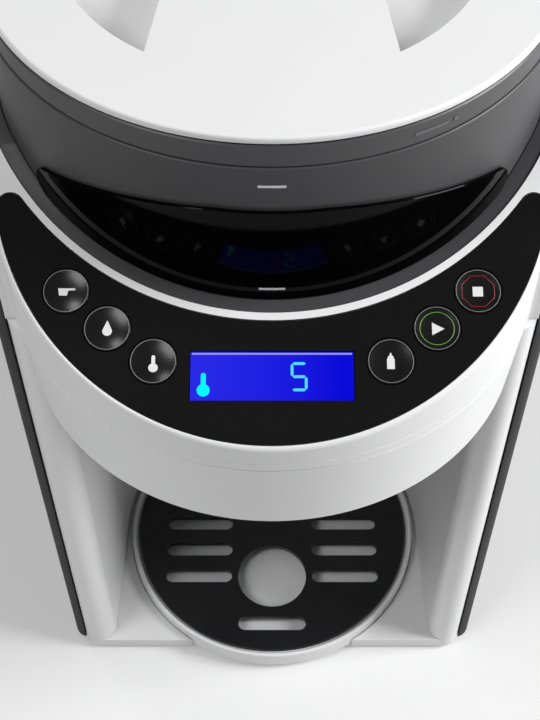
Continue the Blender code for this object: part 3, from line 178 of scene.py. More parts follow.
def rectangle(centre, wide, deep):
    """A square-cornered outline about its centre."""
    x, y = centre
    return [(x - wide / 2, y - deep / 2), (x + wide / 2, y - deep / 2),
            (x + wide / 2, y + deep / 2), (x - wide / 2, y + deep / 2)]


def mirrored(right):
    """Closes a right-hand outline with its mirror image."""
    return right + [(-x, y) for x, y in reversed(right) if abs(x) > GAP]


def plain_mesh(source):
    """The evaluated shape of an object as a mesh."""
    bpy.context.view_layer.update()
    return bpy.data.meshes.new_from_object(source.evaluated_get(bpy.context.evaluated_depsgraph_get()))


def sewn(mesh, distance):
    """A mesh as a working shape, with corners that meet made one."""
    shape = bmesh.new()
    shape.from_mesh(mesh)
    bmesh.ops.remove_doubles(shape, verts=shape.verts, dist=distance)
    return shape


def plate(name, outlines, low, high, place=Matrix()):
    """Flat outlines, the first solid and the others holes, between two heights."""
    curve = bpy.data.curves.new(name, "CURVE")
    curve.dimensions = "2D"
    curve.fill_mode = "BOTH"
    curve.extrude = (high - low) / 2
    for outline in outlines:
        spline = curve.splines.new("POLY")
        spline.points.add(len(outline) - 1)
        for point, (x, y) in zip(spline.points, outline):
            point.co = (x, y, 0, 1)
        spline.use_cyclic_u = True
    guide = on_bench(name + "_guide", curve)
    mesh = plain_mesh(guide)
    mesh.transform(place @ Matrix.Translation((0, 0, (low + high) / 2)))
    bpy.data.objects.remove(guide, do_unlink=True)
    shape = sewn(mesh, TOUCHING)
    bmesh.ops.dissolve_limit(shape, angle_limit=0.0005, verts=shape.verts, edges=shape.edges)
    bmesh.ops.recalc_face_normals(shape, faces=shape.faces)
    return settled(name, shape)


def block(name, low, high):
    """A box between two corners."""
    middle = [(a + b) / 2 for a, b in zip(low, high)]
    shape = bmesh.new()
    bmesh.ops.create_cube(shape, size=1.0)
    bmesh.ops.scale(shape, vec=[b - a for a, b in zip(low, high)], verts=shape.verts)
    bmesh.ops.translate(shape, vec=middle, verts=shape.verts)
    return settled(name, shape)


def combine(operation, blank, tools):
    """Works tools on a blank, one after the other."""
    for tool in tools:
        boolean = blank.modifiers.new(operation.title(), "BOOLEAN")
        boolean.operation = operation
        boolean.solver = "EXACT"
        boolean.object = tool


def cut(blank, *tools):
    """Takes tools out of a blank."""
    combine("DIFFERENCE", blank, tools)


def join(blank, *tools):
    """Makes tools one with a blank."""
    combine("UNION", blank, tools)


def bake(piece):
    """Makes a piece's modifiers part of its mesh."""
    mesh = plain_mesh(piece)
    piece.modifiers.clear()
    piece.data = mesh


def mounted(name, blank, material, body, nodes=(), edge=0.0):
    """Takes a blank off the bench: rounded edges, smooth faces, material, and the body it rides on."""
    mesh = plain_mesh(blank)
    shape = sewn(mesh, SEWN)
    bmesh.ops.dissolve_degenerate(shape, dist=SEWN / 3, edges=shape.edges)
    shape.to_mesh(mesh)
    shape.free()
    piece = shown(name, mesh)
    if edge:
        bevel = piece.modifiers.new("Edges", "BEVEL")
        bevel.width = edge
        bevel.segments = 3
        bevel.limit_method = "ANGLE"
        bevel.angle_limit = ROUNDED_FROM
        bevel.miter_outer = "MITER_ARC"
        bake(piece)
    piece.data.shade_smooth()
    piece.data.set_sharp_from_angle(angle=SHARP_FROM)
    flats = piece.modifiers.new("Flats", "WEIGHTED_NORMAL")
    flats.keep_sharp = True
    bake(piece)
    piece.data.name = name
    piece.data.materials.clear()
    piece.data.materials.append(material)
    for tool in list(BENCH.objects):
        bpy.data.objects.remove(tool, do_unlink=True)
    if nodes:
        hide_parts(*nodes)
    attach(piece, body)


def wire(tree, node, **inputs):
    """Sets a node's inputs, or links them where an output is given. Underscores stand for spaces."""
    for label, value in inputs.items():
        socket = node.inputs[label.replace("_", " ")]
        if isinstance(value, bpy.types.NodeSocket):
            tree.links.new(value, socket)
        else:
            socket.default_value = value
    return node


def add(tree, kind, **inputs):
    """A new node with its inputs wired."""
    return wire(tree, tree.nodes.new(kind), **inputs)


def blend(tree, factor, first, second):
    """A colour between two others."""
    mix = tree.nodes.new("ShaderNodeMix")
    mix.data_type = "RGBA"
    wire(tree, mix, Factor=factor, A=(*first, 1), B=(*second, 1))
    return mix.outputs["Result"]


def reckon(tree, operation, first, second):
    """One sum on an output and a second output or number."""
    node = tree.nodes.new("ShaderNodeMath")
    node.operation = operation
    tree.links.new(first, node.inputs[0])
    if isinstance(second, bpy.types.NodeSocket):
        tree.links.new(second, node.inputs[1])
    else:
        node.inputs[1].default_value = second
    return node.outputs["Value"]


def new_tree(name, kind, **sockets):
    """A node tree with its input and output nodes, from a table of socket kinds for each way."""
    tree = bpy.data.node_groups.new(name, kind)
    for way, table in sockets.items():
        for label, socket_kind in table.items():
            tree.interface.new_socket(name=label, in_out=way, socket_type="NodeSocket" + socket_kind)
    return tree, tree.nodes.new("NodeGroupInput").outputs, tree.nodes.new("NodeGroupOutput")


def new_material(name):
    """A new material, its node tree and its Principled node."""
    material = bpy.data.materials.new(name)
    material.use_nodes = True
    return material, material.node_tree, material.node_tree.nodes["Principled BSDF"]


MARK_SCALE = 26.0
GRAIN_DEEP = 0.00005
CLEAR_INDEX = 1.46


def build_moulded_grain():
    """Fine spark-eroded grain and slow handling marks, shared by the plastics."""
    group, given, out = new_tree("moulded_grain", "ShaderNodeTree", INPUT={"Grain Scale": "Float"},
                                 OUTPUT={"Grain": "Float", "Marks": "Float"})
    place = add(group, "ShaderNodeTexCoord").outputs["Object"]
    for label, scale, detail in (("Grain", given["Grain Scale"], 2.0), ("Marks", MARK_SCALE, 5.0)):
        noise = add(group, "ShaderNodeTexNoise", Vector=place, Scale=scale, Detail=detail, Roughness=0.6)
        wire(group, out, **{label: noise.outputs["Fac"]})
    return group


MOULDED_GRAIN = build_moulded_grain()


def surface(name, colour, roughness, marks=0.06, tint=0.03, grain=0.15, grain_scale=2600.0, metallic=0.0,
            coat=0.0, transmission=0.0, specular=0.5):
    """A moulded or machined finish: colour, gloss and grain that vary a little over the piece."""
    material, tree, shader = new_material(name)
    texture = add(tree, "ShaderNodeGroup")
    texture.node_tree = MOULDED_GRAIN
    wire(tree, texture, Grain_Scale=grain_scale)
    marked = texture.outputs["Marks"]
    gloss = add(tree, "ShaderNodeMapRange", Value=marked, To_Min=max(0.02, roughness - marks),
                To_Max=roughness + marks)
    dark = [c * (1 - tint) for c in colour]
    light = [min(1.0, c * (1 + tint)) for c in colour]
    wire(tree, shader, Metallic=metallic, Coat_Weight=coat, Coat_Roughness=0.05, IOR=CLEAR_INDEX,
         Transmission_Weight=transmission, Specular_IOR_Level=specular, Roughness=gloss.outputs["Result"],
         Base_Color=blend(tree, marked, dark, light))
    if grain:
        bump = add(tree, "ShaderNodeBump", Strength=grain, Distance=GRAIN_DEEP,
                   Height=texture.outputs["Grain"])
        wire(tree, shader, Normal=bump.outputs["Normal"])
    return material


WHITE = (0.80, 0.80, 0.805)
white_satin = surface("white_satin", WHITE, 0.38, coat=0.15)

base_inset = WALL + GAP
base_side = HALF_WIDTH - base_inset
base_corner = TANK_CORNER - base_inset
shoulder_in = SHOULDER_RADIUS - base_inset
nose_centre = (NOSE_X, AXIS_Y - NOSE_LEAD)
nose_left = (-NOSE_X, nose_centre[1])
LOBE_RADIUS = 0.0705
lobe_end = math.asin((nose_centre[1] - NOSE_RADIUS - BAY_Y) / LOBE_RADIUS)
base_right = arc((0, BAY_Y), LOBE_RADIUS, -math.pi / 2, lobe_end)
base_right += arc(nose_centre, NOSE_RADIUS, 1.45 * math.pi, math.tau)
base_right += arc(SHOULDER, shoulder_in, -math.acos((FLANK_X - SHOULDER[0]) / shoulder_in), 0)[1:]
base_right += arc((base_side - base_corner, REAR_Y - base_inset - base_corner), base_corner, 0, math.pi / 2)
base = plate("base", [mirrored(base_right)], BASE_LOW_Z, BASE_TOP_Z)
cut(base, cylinder("tray_seat", (0, BAY_Y), TRAY_RADIUS + GAP, FOOT_HEIGHT, BASE_TOP_Z + OVERRUN))
FRONT_FOOT_X = 0.079
REAR_FOOT_X = 0.068
front_foot_y = AXIS_Y - 0.022
rear_foot_y = REAR_Y - 0.027
FOOT_PLACES = {"foot_front_left": (-FRONT_FOOT_X, front_foot_y),
               "foot_front_right": (FRONT_FOOT_X, front_foot_y),
               "foot_rear_left": (-REAR_FOOT_X, rear_foot_y),
               "foot_rear_right": (REAR_FOOT_X, rear_foot_y)}
for foot_name, foot_place in FOOT_PLACES.items():
    cut(base, cylinder(foot_name + "_seat", foot_place, FOOT_RADIUS + GAP, -OVERRUN, FOOT_HEIGHT + GAP))
mounted("base_moulding", base, white_satin, "housing", ["base_plate"], 0.0004)


# Feet
# Soft black rubber discs pressed into the base. Their lower edge is rounded
# and the tread face has two shallow rings.
black_rubber = surface("black_rubber", (0.028, 0.028, 0.028), 0.78, tint=0.15, grain=0.5, grain_scale=1400.0)
TREAD_DEEP = 0.0005
FOOT_PROFILE = [(0, FOOT_HEIGHT), (FOOT_RADIUS, FOOT_HEIGHT), (FOOT_RADIUS, 0.0009), (0.0087, 0.0003),
                (0.0082, 0), (0.0066, 0), (0.0062, TREAD_DEEP), (0.0056, TREAD_DEEP), (0.0052, 0),
                (0.0036, 0), (0.0032, TREAD_DEEP), (0.0026, TREAD_DEEP), (0.0022, 0), (0, 0)]
for foot_name, foot_place in FOOT_PLACES.items():
    foot = turned(foot_name, FOOT_PROFILE, foot_place)
    mounted(foot_name + "_pad", foot, black_rubber, "housing", [foot_name])


# Drip cup
# Round white cup that lifts out of its seat. A sloped ledge inside its rim
# carries the cover, and the rim is rounded where fingers meet it.
TRAY_TOP_Z = 0.0146
COVER_RADIUS = 0.0677
COVER_TOP_Z = TRAY_TOP_Z - 0.0006
CUP_FLOOR = 0.0015
cup_low = FOOT_HEIGHT + GAP
cup_floor = cup_low + CUP_FLOOR
cup_seat = COVER_RADIUS - 0.002
cup_ledge = COVER_TOP_Z - WALL - GAP
cup_profile = [(0, cup_floor), (cup_seat - 0.002, cup_floor), (cup_seat - 0.0006, cup_low + 0.0021),
               (cup_seat, cup_low + 0.0035), (cup_seat, cup_ledge), (COVER_RADIUS + GAP, cup_ledge),
               (0.0696, TRAY_TOP_Z - 0.0004), (0.0699, TRAY_TOP_Z - 0.0001), (0.0702, TRAY_TOP_Z),
               (0.0707, TRAY_TOP_Z), (0.0711, TRAY_TOP_Z - 0.00012), (0.0714, TRAY_TOP_Z - 0.0004),
               (TRAY_RADIUS, TRAY_TOP_Z - 0.0008), (TRAY_RADIUS, cup_low + 0.0008), (0.0707, cup_low),
               (0, cup_low)]
cup = turned("cup", cup_profile, (0, BAY_Y))
mounted("drip_cup_moulding", cup, white_satin, "drip_cup", ["drip_cup"])


# Drip cover
# Black plate with round-ended drain slots in two columns, one slot in front
# and a finger hole that lifts it out of the cup.
SLOT_LONG = 0.033
SLOT_WIDE = 0.007
SLOT_OUT = 0.0365
SLOT_PITCH = 0.015
SLOT_ROWS = 5
SLOT_END_SHARE = 0.499
SLOT_END_SIDES = 10
SOLID_OUT = {"Geometry": "Geometry"}
FINGER_RADIUS = 0.017
finger_y = BAY_Y - 0.028


def finish_tree(tree, geometry, given, out):
    """Ends a Geometry Nodes tree: instances are made real and take the given material."""
    real = add(tree, "GeometryNodeRealizeInstances", Geometry=geometry).outputs["Geometry"]
    dressed = add(tree, "GeometryNodeSetMaterial", Geometry=real, Material=given["Material"])
    wire(tree, out, Geometry=dressed.outputs["Geometry"])
    return tree


def build_slot_tree():
    """Round-ended slots on a grid of columns and rows, as one solid tool for the cover."""
    inputs = {"Column Gap": "Float", "Row Pitch": "Float", "Slot Long": "Float", "Slot Wide": "Float",
              "Depth": "Float", "Columns": "Int", "Rows": "Int", "Material": "Material"}
    tree, given, out = new_tree("drain_slots", "GeometryNodeTree", INPUT=inputs, OUTPUT=SOLID_OUT)
    sizes = [reckon(tree, "MULTIPLY", given[pitch], reckon(tree, "SUBTRACT", given[count], 1))
             for pitch, count in (("Column Gap", "Columns"), ("Row Pitch", "Rows"))]
    grid = add(tree, "GeometryNodeMeshGrid", Size_X=sizes[0], Size_Y=sizes[1], Vertices_X=given["Columns"],
               Vertices_Y=given["Rows"])
    quad = add(tree, "GeometryNodeCurvePrimitiveQuadrilateral", Width=given["Slot Long"],
               Height=given["Slot Wide"])
    fillet = tree.nodes.new("GeometryNodeFilletCurve")
    fillet.mode = "POLY"
    wire(tree, fillet, Curve=quad.outputs["Curve"], Count=SLOT_END_SIDES,
         Radius=reckon(tree, "MULTIPLY", given["Slot Wide"], SLOT_END_SHARE))
    fill = add(tree, "GeometryNodeFillCurve", Curve=fillet.outputs["Curve"]).outputs["Mesh"]
    raised = add(tree, "GeometryNodeExtrudeMesh", Mesh=fill, Offset_Scale=given["Depth"], Individual=False)
    under = add(tree, "GeometryNodeFlipFaces", Mesh=fill)
    joined = add(tree, "GeometryNodeJoinGeometry", Geometry=raised.outputs["Mesh"])
    wire(tree, joined, Geometry=under.outputs["Mesh"])
    slot = add(tree, "GeometryNodeMergeByDistance", Geometry=joined.outputs["Geometry"], Distance=TOUCHING)
    copies = add(tree, "GeometryNodeInstanceOnPoints", Points=grid.outputs["Mesh"],
                 Instance=slot.outputs["Geometry"])
    return finish_tree(tree, copies.outputs["Instances"], given, out)


def from_tree(name, tree, values, place=Matrix()):
    """Runs a Geometry Nodes tree with its named inputs set, and puts the plain mesh on the bench."""
    carrier = on_bench(name + "_carrier", bpy.data.meshes.new(name))
    nodes = carrier.modifiers.new("Nodes", "NODES")
    nodes.node_group = tree
    for item in tree.interface.items_tree:
        if item.in_out == "INPUT":
            nodes[item.identifier] = values[item.name]
    mesh = plain_mesh(carrier)
    mesh.transform(place)
    carrier.modifiers.clear()
    bpy.data.objects.remove(carrier, do_unlink=True)
    return on_bench(name, mesh)


cover_black = surface("cover_black", (0.010, 0.010, 0.011), 0.22, marks=0.08, tint=0.2, grain=0.1)
SLOT_TREE = build_slot_tree()
slot_depth = WALL + 2 * OVERRUN
cover = cylinder("cover", (0, BAY_Y), COVER_RADIUS, COVER_TOP_Z - WALL, COVER_TOP_Z)
cover_under = COVER_TOP_Z - WALL - OVERRUN
front_slot_y = finger_y - FINGER_RADIUS - SLOT_WIDE - 0.002
columns_y = finger_y + SLOT_PITCH * (SLOT_ROWS - 1) / 2
slot_sets = (("columns", 2, SLOT_ROWS, columns_y), ("front", 1, 1, front_slot_y))
for set_name, columns, rows, middle_y in slot_sets:
    slot_values = {"Column Gap": 2 * SLOT_OUT, "Row Pitch": SLOT_PITCH, "Slot Long": SLOT_LONG,
                   "Slot Wide": SLOT_WIDE, "Depth": slot_depth, "Columns": columns, "Rows": rows,
                   "Material": cover_black}
    slot_place = Matrix.Translation((0, middle_y, cover_under))
    cut(cover, from_tree(set_name, SLOT_TREE, slot_values, slot_place))
cut(cover, cylinder("finger_hole", (0, finger_y), FINGER_RADIUS, cover_under, COVER_TOP_Z + OVERRUN))
mounted("drip_cover_plate", cover, cover_black, "drip_cover", ["drip_cover"], 0.0004)


# Bottle bay wall
# One white moulding: a half-round back and two pillars whose round noses
# face the front on either side of the bottle.
BAY_RADIUS = 0.074
PILLAR_STUB = 0.019


def bay_path(depth):
    """Right half of the wall's plan, at a depth under its face, from its back to the pillar's flank."""
    across, back = NOSE_X, -NOSE_LEAD - BAY_BACK
    angle = math.atan2(back, across) + math.acos((BAY_RADIUS + NOSE_RADIUS) / math.hypot(across, back))
    path = arc((0, BAY_Y), BAY_RADIUS + depth, math.pi / 2, angle)
    path += arc(nose_centre, NOSE_RADIUS - depth, angle + math.pi, math.tau)
    return path + [(NOSE_X + NOSE_RADIUS - depth, nose_centre[1] + PILLAR_STUB)]


def both_sides(right):
    """A right-hand outline's copy on the left, and the outline itself."""
    return [[(side * x, y) for x, y in right] for side in (-1, 1)]


bay_shown, bay_hidden = [[p for p in bay_path(depth) if p[0] > GAP] for depth in (0, WALL)]
bay_right = [(0, BAY_Y + BAY_RADIUS)] + bay_shown + bay_hidden[::-1] + [(0, BAY_Y + BAY_RADIUS + WALL)]
bay_wall = plate("bay", [mirrored(bay_right)], BASE_TOP_Z + GAP, BAY_TOP_Z)
join(bay_wall, *[cylinder("nose_cap", spot, NOSE_RADIUS - WALL / 2, BAY_TOP_Z - WALL, BAY_TOP_Z)
                 for spot in (nose_left, nose_centre)])
mounted("bay_moulding", bay_wall, white_satin, "housing", ["bay_wall"])


# Side panels
# Dark matt panels along the whole side. Their front corners turn in to the
# pillars, and show from the front as a dark edge on either side.
GRAPHITE = (0.050, 0.050, 0.053)
dark_satin = surface("dark_satin", GRAPHITE, 0.36, tint=0.08, grain=0.2)
side_matt = surface("side_matt", (0.040, 0.040, 0.042), 0.62, tint=0.08, grain=0.3, specular=0.2)
panel_inner = HALF_WIDTH - WALL
panel_reach = FLANK_X + GAP - SHOULDER[0]
panel_hidden = SHOULDER_RADIUS - WALL
side_right = arc(SHOULDER, SHOULDER_RADIUS, -math.acos(panel_reach / SHOULDER_RADIUS), 0)
side_right += [(HALF_WIDTH, REAR_PANEL_Y), (panel_inner, REAR_PANEL_Y)]
side_right += arc(SHOULDER, panel_hidden, 0, -math.acos(panel_reach / panel_hidden))
for side_name, side_plan in zip(("side_panel_left", "side_panel_right"), both_sides(side_right)):
    side_panel = plate(side_name, [side_plan], BASE_LOW_Z + GAP, SEAM_Z - GAP)
    mounted(side_name + "_skin", side_panel, side_matt, "housing", [side_name], 0.0004)


# Rear wall, tank base and mains inlet
# Dark mouldings under and ahead of the tank. The inlet is a black socket
# body with three flat pins inside.
black_satin = surface("black_satin", (0.018, 0.018, 0.019), 0.34, tint=0.15)
bright_steel = surface("bright_steel", (0.62, 0.62, 0.63), 0.26, marks=0.08, grain=0.1, metallic=1.0)
TANK_MARGIN = 0.0005


def tank_outline(inset):
    """Plan of the tank: flat against the rear wall, with large rear corners."""
    half = HALF_WIDTH - TANK_MARGIN - inset
    corner = TANK_CORNER - inset
    return mirrored([(half, REAR_PANEL_Y + GAP + inset)]
                    + arc((half - corner, REAR_Y - inset - corner), corner, 0, math.pi / 2))


def frame_material(material, *names):
    """Gives the frame's own solids a finish."""
    for name in names:
        solid = frame["nodes"][name]
        if not solid.material_slots:
            solid.data.materials.append(material)
        for material_slot in solid.material_slots:
            material_slot.link = "OBJECT"
            material_slot.material = material


frame_material(dark_satin, "chassis_plate", "display_module")
PORT_BACK = 0.0255
PORT_PLACE = (0, REAR_PANEL_Y + PORT_BACK)
PORT_RADIUS = 0.005
TANK_BASE_TOP_Z = 0.038
TANK_BASE_LOW_Z = BASE_TOP_Z + GAP
tank_base = plate("tank_base", [tank_outline(0)], TANK_BASE_LOW_Z, TANK_BASE_TOP_Z)
cut(tank_base,
    plate("tank_base_inside", [tank_outline(WALL)], TANK_BASE_LOW_Z - OVERRUN, TANK_BASE_TOP_Z - WALL),
    cylinder("port_hole", PORT_PLACE, PORT_RADIUS + GAP, TANK_BASE_LOW_Z, SEAM_Z))
INLET_X = -0.055
INLET_WIDE, INLET_DEEP, INLET_TALL = 0.027, 0.018, 0.020
inlet_z = (TANK_BASE_LOW_Z + TANK_BASE_TOP_Z - WALL) / 2


def inlet_box(name, spread, back, front):
    """A box about the inlet's middle, wider than the inlet by the spread all round."""
    wide, tall = INLET_WIDE / 2 + spread, INLET_TALL / 2 + spread
    return block(name, (INLET_X - wide, back, inlet_z - tall), (INLET_X + wide, front, inlet_z + tall))


cut(tank_base, inlet_box("inlet_opening", GAP, REAR_Y - INLET_DEEP, REAR_Y + OVERRUN))
mounted("tank_base_moulding", tank_base, dark_satin, "housing", ["tank_base"], 0.0006)
inlet = inlet_box("inlet", 0, REAR_Y - INLET_DEEP, REAR_Y - GAP)
cut(inlet, inlet_box("inlet_socket", -WALL, REAR_Y - INLET_DEEP + WALL, REAR_Y + OVERRUN))
mounted("inlet_moulding", inlet, black_satin, "housing", ["power_inlet"], 0.0005)
PIN_WIDE, PIN_TALL, PIN_LONG, PIN_PITCH, PIN_RISE = 0.002, 0.004, 0.0125, 0.007, 0.002
for pin_name, pin_step, pin_up in (("left", -1, 0), ("middle", 0, 1), ("right", 1, 0)):
    pin_x, pin_z = INLET_X + pin_step * PIN_PITCH, inlet_z + (2 * pin_up - 1) * PIN_RISE
    pin_back = REAR_Y - INLET_DEEP + WALL
    pin = block("pin", (pin_x - PIN_WIDE / 2, pin_back - GAP, pin_z - PIN_TALL / 2),
                (pin_x + PIN_WIDE / 2, pin_back + PIN_LONG, pin_z + PIN_TALL / 2))
    mounted("inlet_pin_" + pin_name, pin, bright_steel, "housing", [], 0.0003)
HOSE_HOLE_RADIUS = 0.006
HOSE_HOLE_LONG = 0.02
HOSE_X, HOSE_Z = -0.045, 0.020
rear_half = HALF_WIDTH - WALL - GAP
rear_panel = block("rear_panel", (-rear_half, REAR_PANEL_Y - WALL, BASE_TOP_Z + GAP),
                   (rear_half, REAR_PANEL_Y, SEAM_Z - GAP))


def rod(name, radius, long, place, turned_about):
    """A round bar laid down by a quarter turn about X or Y, with its middle at a place."""
    bar = cylinder(name, (0, 0), radius, -long / 2, long / 2)
    bar.data.transform(Matrix.Translation(place) @ Matrix.Rotation(math.pi / 2, 4, turned_about))
    return bar


cut(rear_panel, rod("hose_hole", HOSE_HOLE_RADIUS, HOSE_HOLE_LONG, (HOSE_X, REAR_PANEL_Y, HOSE_Z), "X"))
mounted("rear_panel_skin", rear_panel, dark_satin, "housing", ["rear_panel"], 0.0004)


# Head skirt
# The plain white front wall of the head, narrowing slightly towards its foot.
# The place of the badge stays bare.
skirt_top = SEAM_Z - GAP
skirt_outer = HEAD_RADIUS - 0.0001
skirt_foot = skirt_outer - 0.0020
skirt_low = BAY_TOP_Z + GAP
SKIRT_RELIEF_Z = 0.2757
skirt_profile = [(skirt_outer - 0.0005, skirt_top), (skirt_outer, skirt_top - 0.0005),
                 (skirt_foot, skirt_low + 0.0012), (skirt_foot - 0.0004, skirt_low + 0.0004),
                 (skirt_foot - 0.0011, skirt_low), (skirt_foot - WALL, skirt_low),
                 (skirt_outer - WALL, skirt_top)]
skirt = turned("skirt", skirt_profile, (0, HEAD_Y), closed=True)
FLARE_Y = AXIS_Y - SHOULDER_LEAD - FLARE_RADIUS
flare_down = FLARE_Y - HEAD_Y
FLARE = (math.sqrt((HEAD_RADIUS + FLARE_RADIUS) ** 2 - flare_down ** 2), FLARE_Y)
FLARE_TURN = math.atan2(flare_down, FLARE[0])
cut(skirt, block("skirt_back", (-HALF_WIDTH, FLARE_Y + WALL / 2, BAY_TOP_Z - OVERRUN),
                 (HALF_WIDTH, REAR_Y, SEAM_Z + OVERRUN)))
ear_shown = FLARE_RADIUS + HEAD_RADIUS - skirt_outer
ear_hidden = ear_shown + WALL
ear_right = arc(FLARE, ear_shown, math.pi, math.pi / 2)
ear_right += [(FLANK_X, FLARE_Y + ear_shown), (FLANK_X, FLARE_Y + ear_hidden)]
ear_right += arc(FLARE, ear_hidden, math.pi / 2, math.pi)
join(skirt, *[plate("ear", [ear], skirt_low, skirt_top) for ear in both_sides(ear_right)])
RING_RADIUS = 0.0946
cut(skirt, cylinder("skirt_relief", (0, AXIS_Y), RING_RADIUS + GAP, SKIRT_RELIEF_Z, SEAM_Z + OVERRUN))
mounted("head_skirt_moulding", skirt, white_satin, "housing", ["head_skirt"])


# Top deck
# White top moulding: the slope under the control panel, the level deck and the
# round well for the powder container. Its front edge is rounded, with a fine
# line above the seam.
SLOPE = math.radians(20.0)
PANEL_FRONT_Z = 0.2956
DECK_Z = 0.328
ROOF = 0.0045
PANEL_RADIUS = 0.083
PANEL_TIP = 0.004
PANEL_THICK = 0.0018
WELL_RADIUS = 0.0922
WELL_FLOOR_Z = 0.279
WELL_THICK = 0.003
OUTLET_RADIUS = 0.009
HUB_RADIUS = 0.0079
HUB_CLEAR = 0.0091
OUTLET_LEAD = 0.030
LIP_ROUND = 0.00115
axis = (0, AXIS_Y)
outlet_place = (0, AXIS_Y - OUTLET_LEAD)
SLOPE_FRAME = Matrix.Translation((0, FRONT_Y, PANEL_FRONT_Z)) @ Matrix.Rotation(SLOPE, 4, "X")
ACROSS = Matrix.Rotation(math.pi / 2, 4, "Z") @ Matrix.Rotation(math.pi / 2, 4, "X")


def slope_z(y):
    """Height of the sloped plane at a place along the depth."""
    return PANEL_FRONT_Z + (y - FRONT_Y) * math.tan(SLOPE)


def on_slope(y):
    """Distance up the slope of a place along the depth."""
    return (y - FRONT_Y) / math.cos(SLOPE)


def body_outline(inset, corner):
    """Plan of the head: round front, flared shoulders, straight sides."""
    side, rear = HALF_WIDTH - inset, REAR_PANEL_Y - inset
    right = arc((0, HEAD_Y), HEAD_RADIUS - inset, -math.pi / 2, FLARE_TURN)
    right += arc(FLARE, FLARE_RADIUS + inset, math.pi + FLARE_TURN, math.pi / 2)[1:]
    right += arc(SHOULDER, SHOULDER_RADIUS - inset, -math.pi / 2, 0)[1:]
    right += arc((side - corner, rear - corner), corner, 0, math.pi / 2)
    return mirrored(right)


def roof_tool(name, drop):
    """Everything above the slope and the level deck, lowered by drop."""
    knee_y = FRONT_Y + (DECK_Z - PANEL_FRONT_Z) / math.tan(SLOPE)
    front, rear = FRONT_Y - OVERRUN, REAR_Y + OVERRUN
    outline = [(front, slope_z(front) - drop), (knee_y, DECK_Z - drop), (rear, DECK_Z - drop),
               (rear, HEIGHT + 2 * OVERRUN), (front, HEIGHT + 2 * OVERRUN)]
    return plate(name, [outline], -HALF_WIDTH - OVERRUN, HALF_WIDTH + OVERRUN, ACROSS)


def crescent(name, grow, low, high, holes=()):
    """The control panel's crescent, grown by a margin, between two heights off the slope."""
    bulge = PANEL_RADIUS - PANEL_TIP
    ring = RING_RADIUS + PANEL_TIP
    tip_y = (bulge ** 2 - ring ** 2 - HEAD_REACH ** 2) / (2 * HEAD_REACH)
    tip_x = math.sqrt(ring ** 2 - tip_y ** 2)
    outer_end = math.atan2(tip_y + HEAD_REACH, tip_x)
    inner_end = math.atan2(tip_y, tip_x)
    right = arc((0, HEAD_Y), PANEL_RADIUS + grow, -math.pi / 2, outer_end)
    right += arc((tip_x, AXIS_Y + tip_y), PANEL_TIP + grow, outer_end, inner_end + math.pi)[1:]
    right += arc(axis, RING_RADIUS - grow, inner_end, -math.pi / 2)[1:]
    outline = [(x, on_slope(y)) for x, y in mirrored(right)]
    return plate(name, [outline, *holes], low, high, SLOPE_FRAME)


deck = plate("deck", [body_outline(0, WALL)], SEAM_Z, HEIGHT - OVERRUN)
hollow = plate("hollow", [body_outline(WALL + GAP, WALL)], SEAM_Z - OVERRUN, HEIGHT)
cut(hollow, roof_tool("hollow_roof", ROOF))
cut(deck, hollow)
well_under = WELL_FLOOR_Z - WELL_THICK
hub_bore = HUB_RADIUS + HUB_CLEAR
well_foot = HALF_WIDTH - WALL - 2 * GAP
well_top = HEIGHT - 2 * OVERRUN
well_profile = [(0, well_top), (RING_RADIUS, well_top), (RING_RADIUS, SEAM_Z), (well_foot, SEAM_Z),
                (well_foot, well_under), (0, well_under)]
join(deck, turned("well_body", well_profile, axis))
cut(deck, roof_tool("deck_roof", 0),
    cylinder("well_bore", axis, WELL_RADIUS, WELL_FLOOR_Z, HEIGHT + OVERRUN),
    crescent("panel_seat", GAP, -PANEL_THICK - GAP, ROOF),
    crescent("panel_opening", -0.002, -ROOF * 2, ROOF),
    cylinder("chute_hole", outlet_place, OUTLET_RADIUS, well_under - OVERRUN, WELL_FLOOR_Z + OVERRUN),
    cylinder("hub_hole", axis, hub_bore, well_under - OVERRUN, WELL_FLOOR_Z + OVERRUN))
STEP_Z = 0.2881
STEP_WIDE = 0.0003
line_in, line_out = HEAD_RADIUS - 0.00012, HEAD_RADIUS + 0.001
line_profile = [(line_in, STEP_Z), (line_out, STEP_Z), (line_out, STEP_Z + STEP_WIDE),
                (line_in, STEP_Z + STEP_WIDE)]
cut(deck, turned("deck_line", line_profile, (0, HEAD_Y), closed=True))
deck_shape = sewn(plain_mesh(deck), SEWN)


def on_lip(corner):
    """Whether a corner of the deck lies on its outer upper edge, ahead of the well."""
    x, y, z = corner.co
    outer = math.hypot(x, y - HEAD_Y) > HEAD_RADIUS - 0.0002
    return outer and y < AXIS_Y - SHOULDER_LEAD and abs(z - slope_z(y)) < 0.00005


lip_edges = [edge for edge in deck_shape.edges if all(on_lip(corner) for corner in edge.verts)]
bmesh.ops.bevel(deck_shape, geom=lip_edges, offset=LIP_ROUND, segments=5, profile=0.5, affect="EDGES")
mounted("deck_moulding", settled("deck_lipped", deck_shape), white_satin, "housing",
        ["top_deck"], 0.0002)


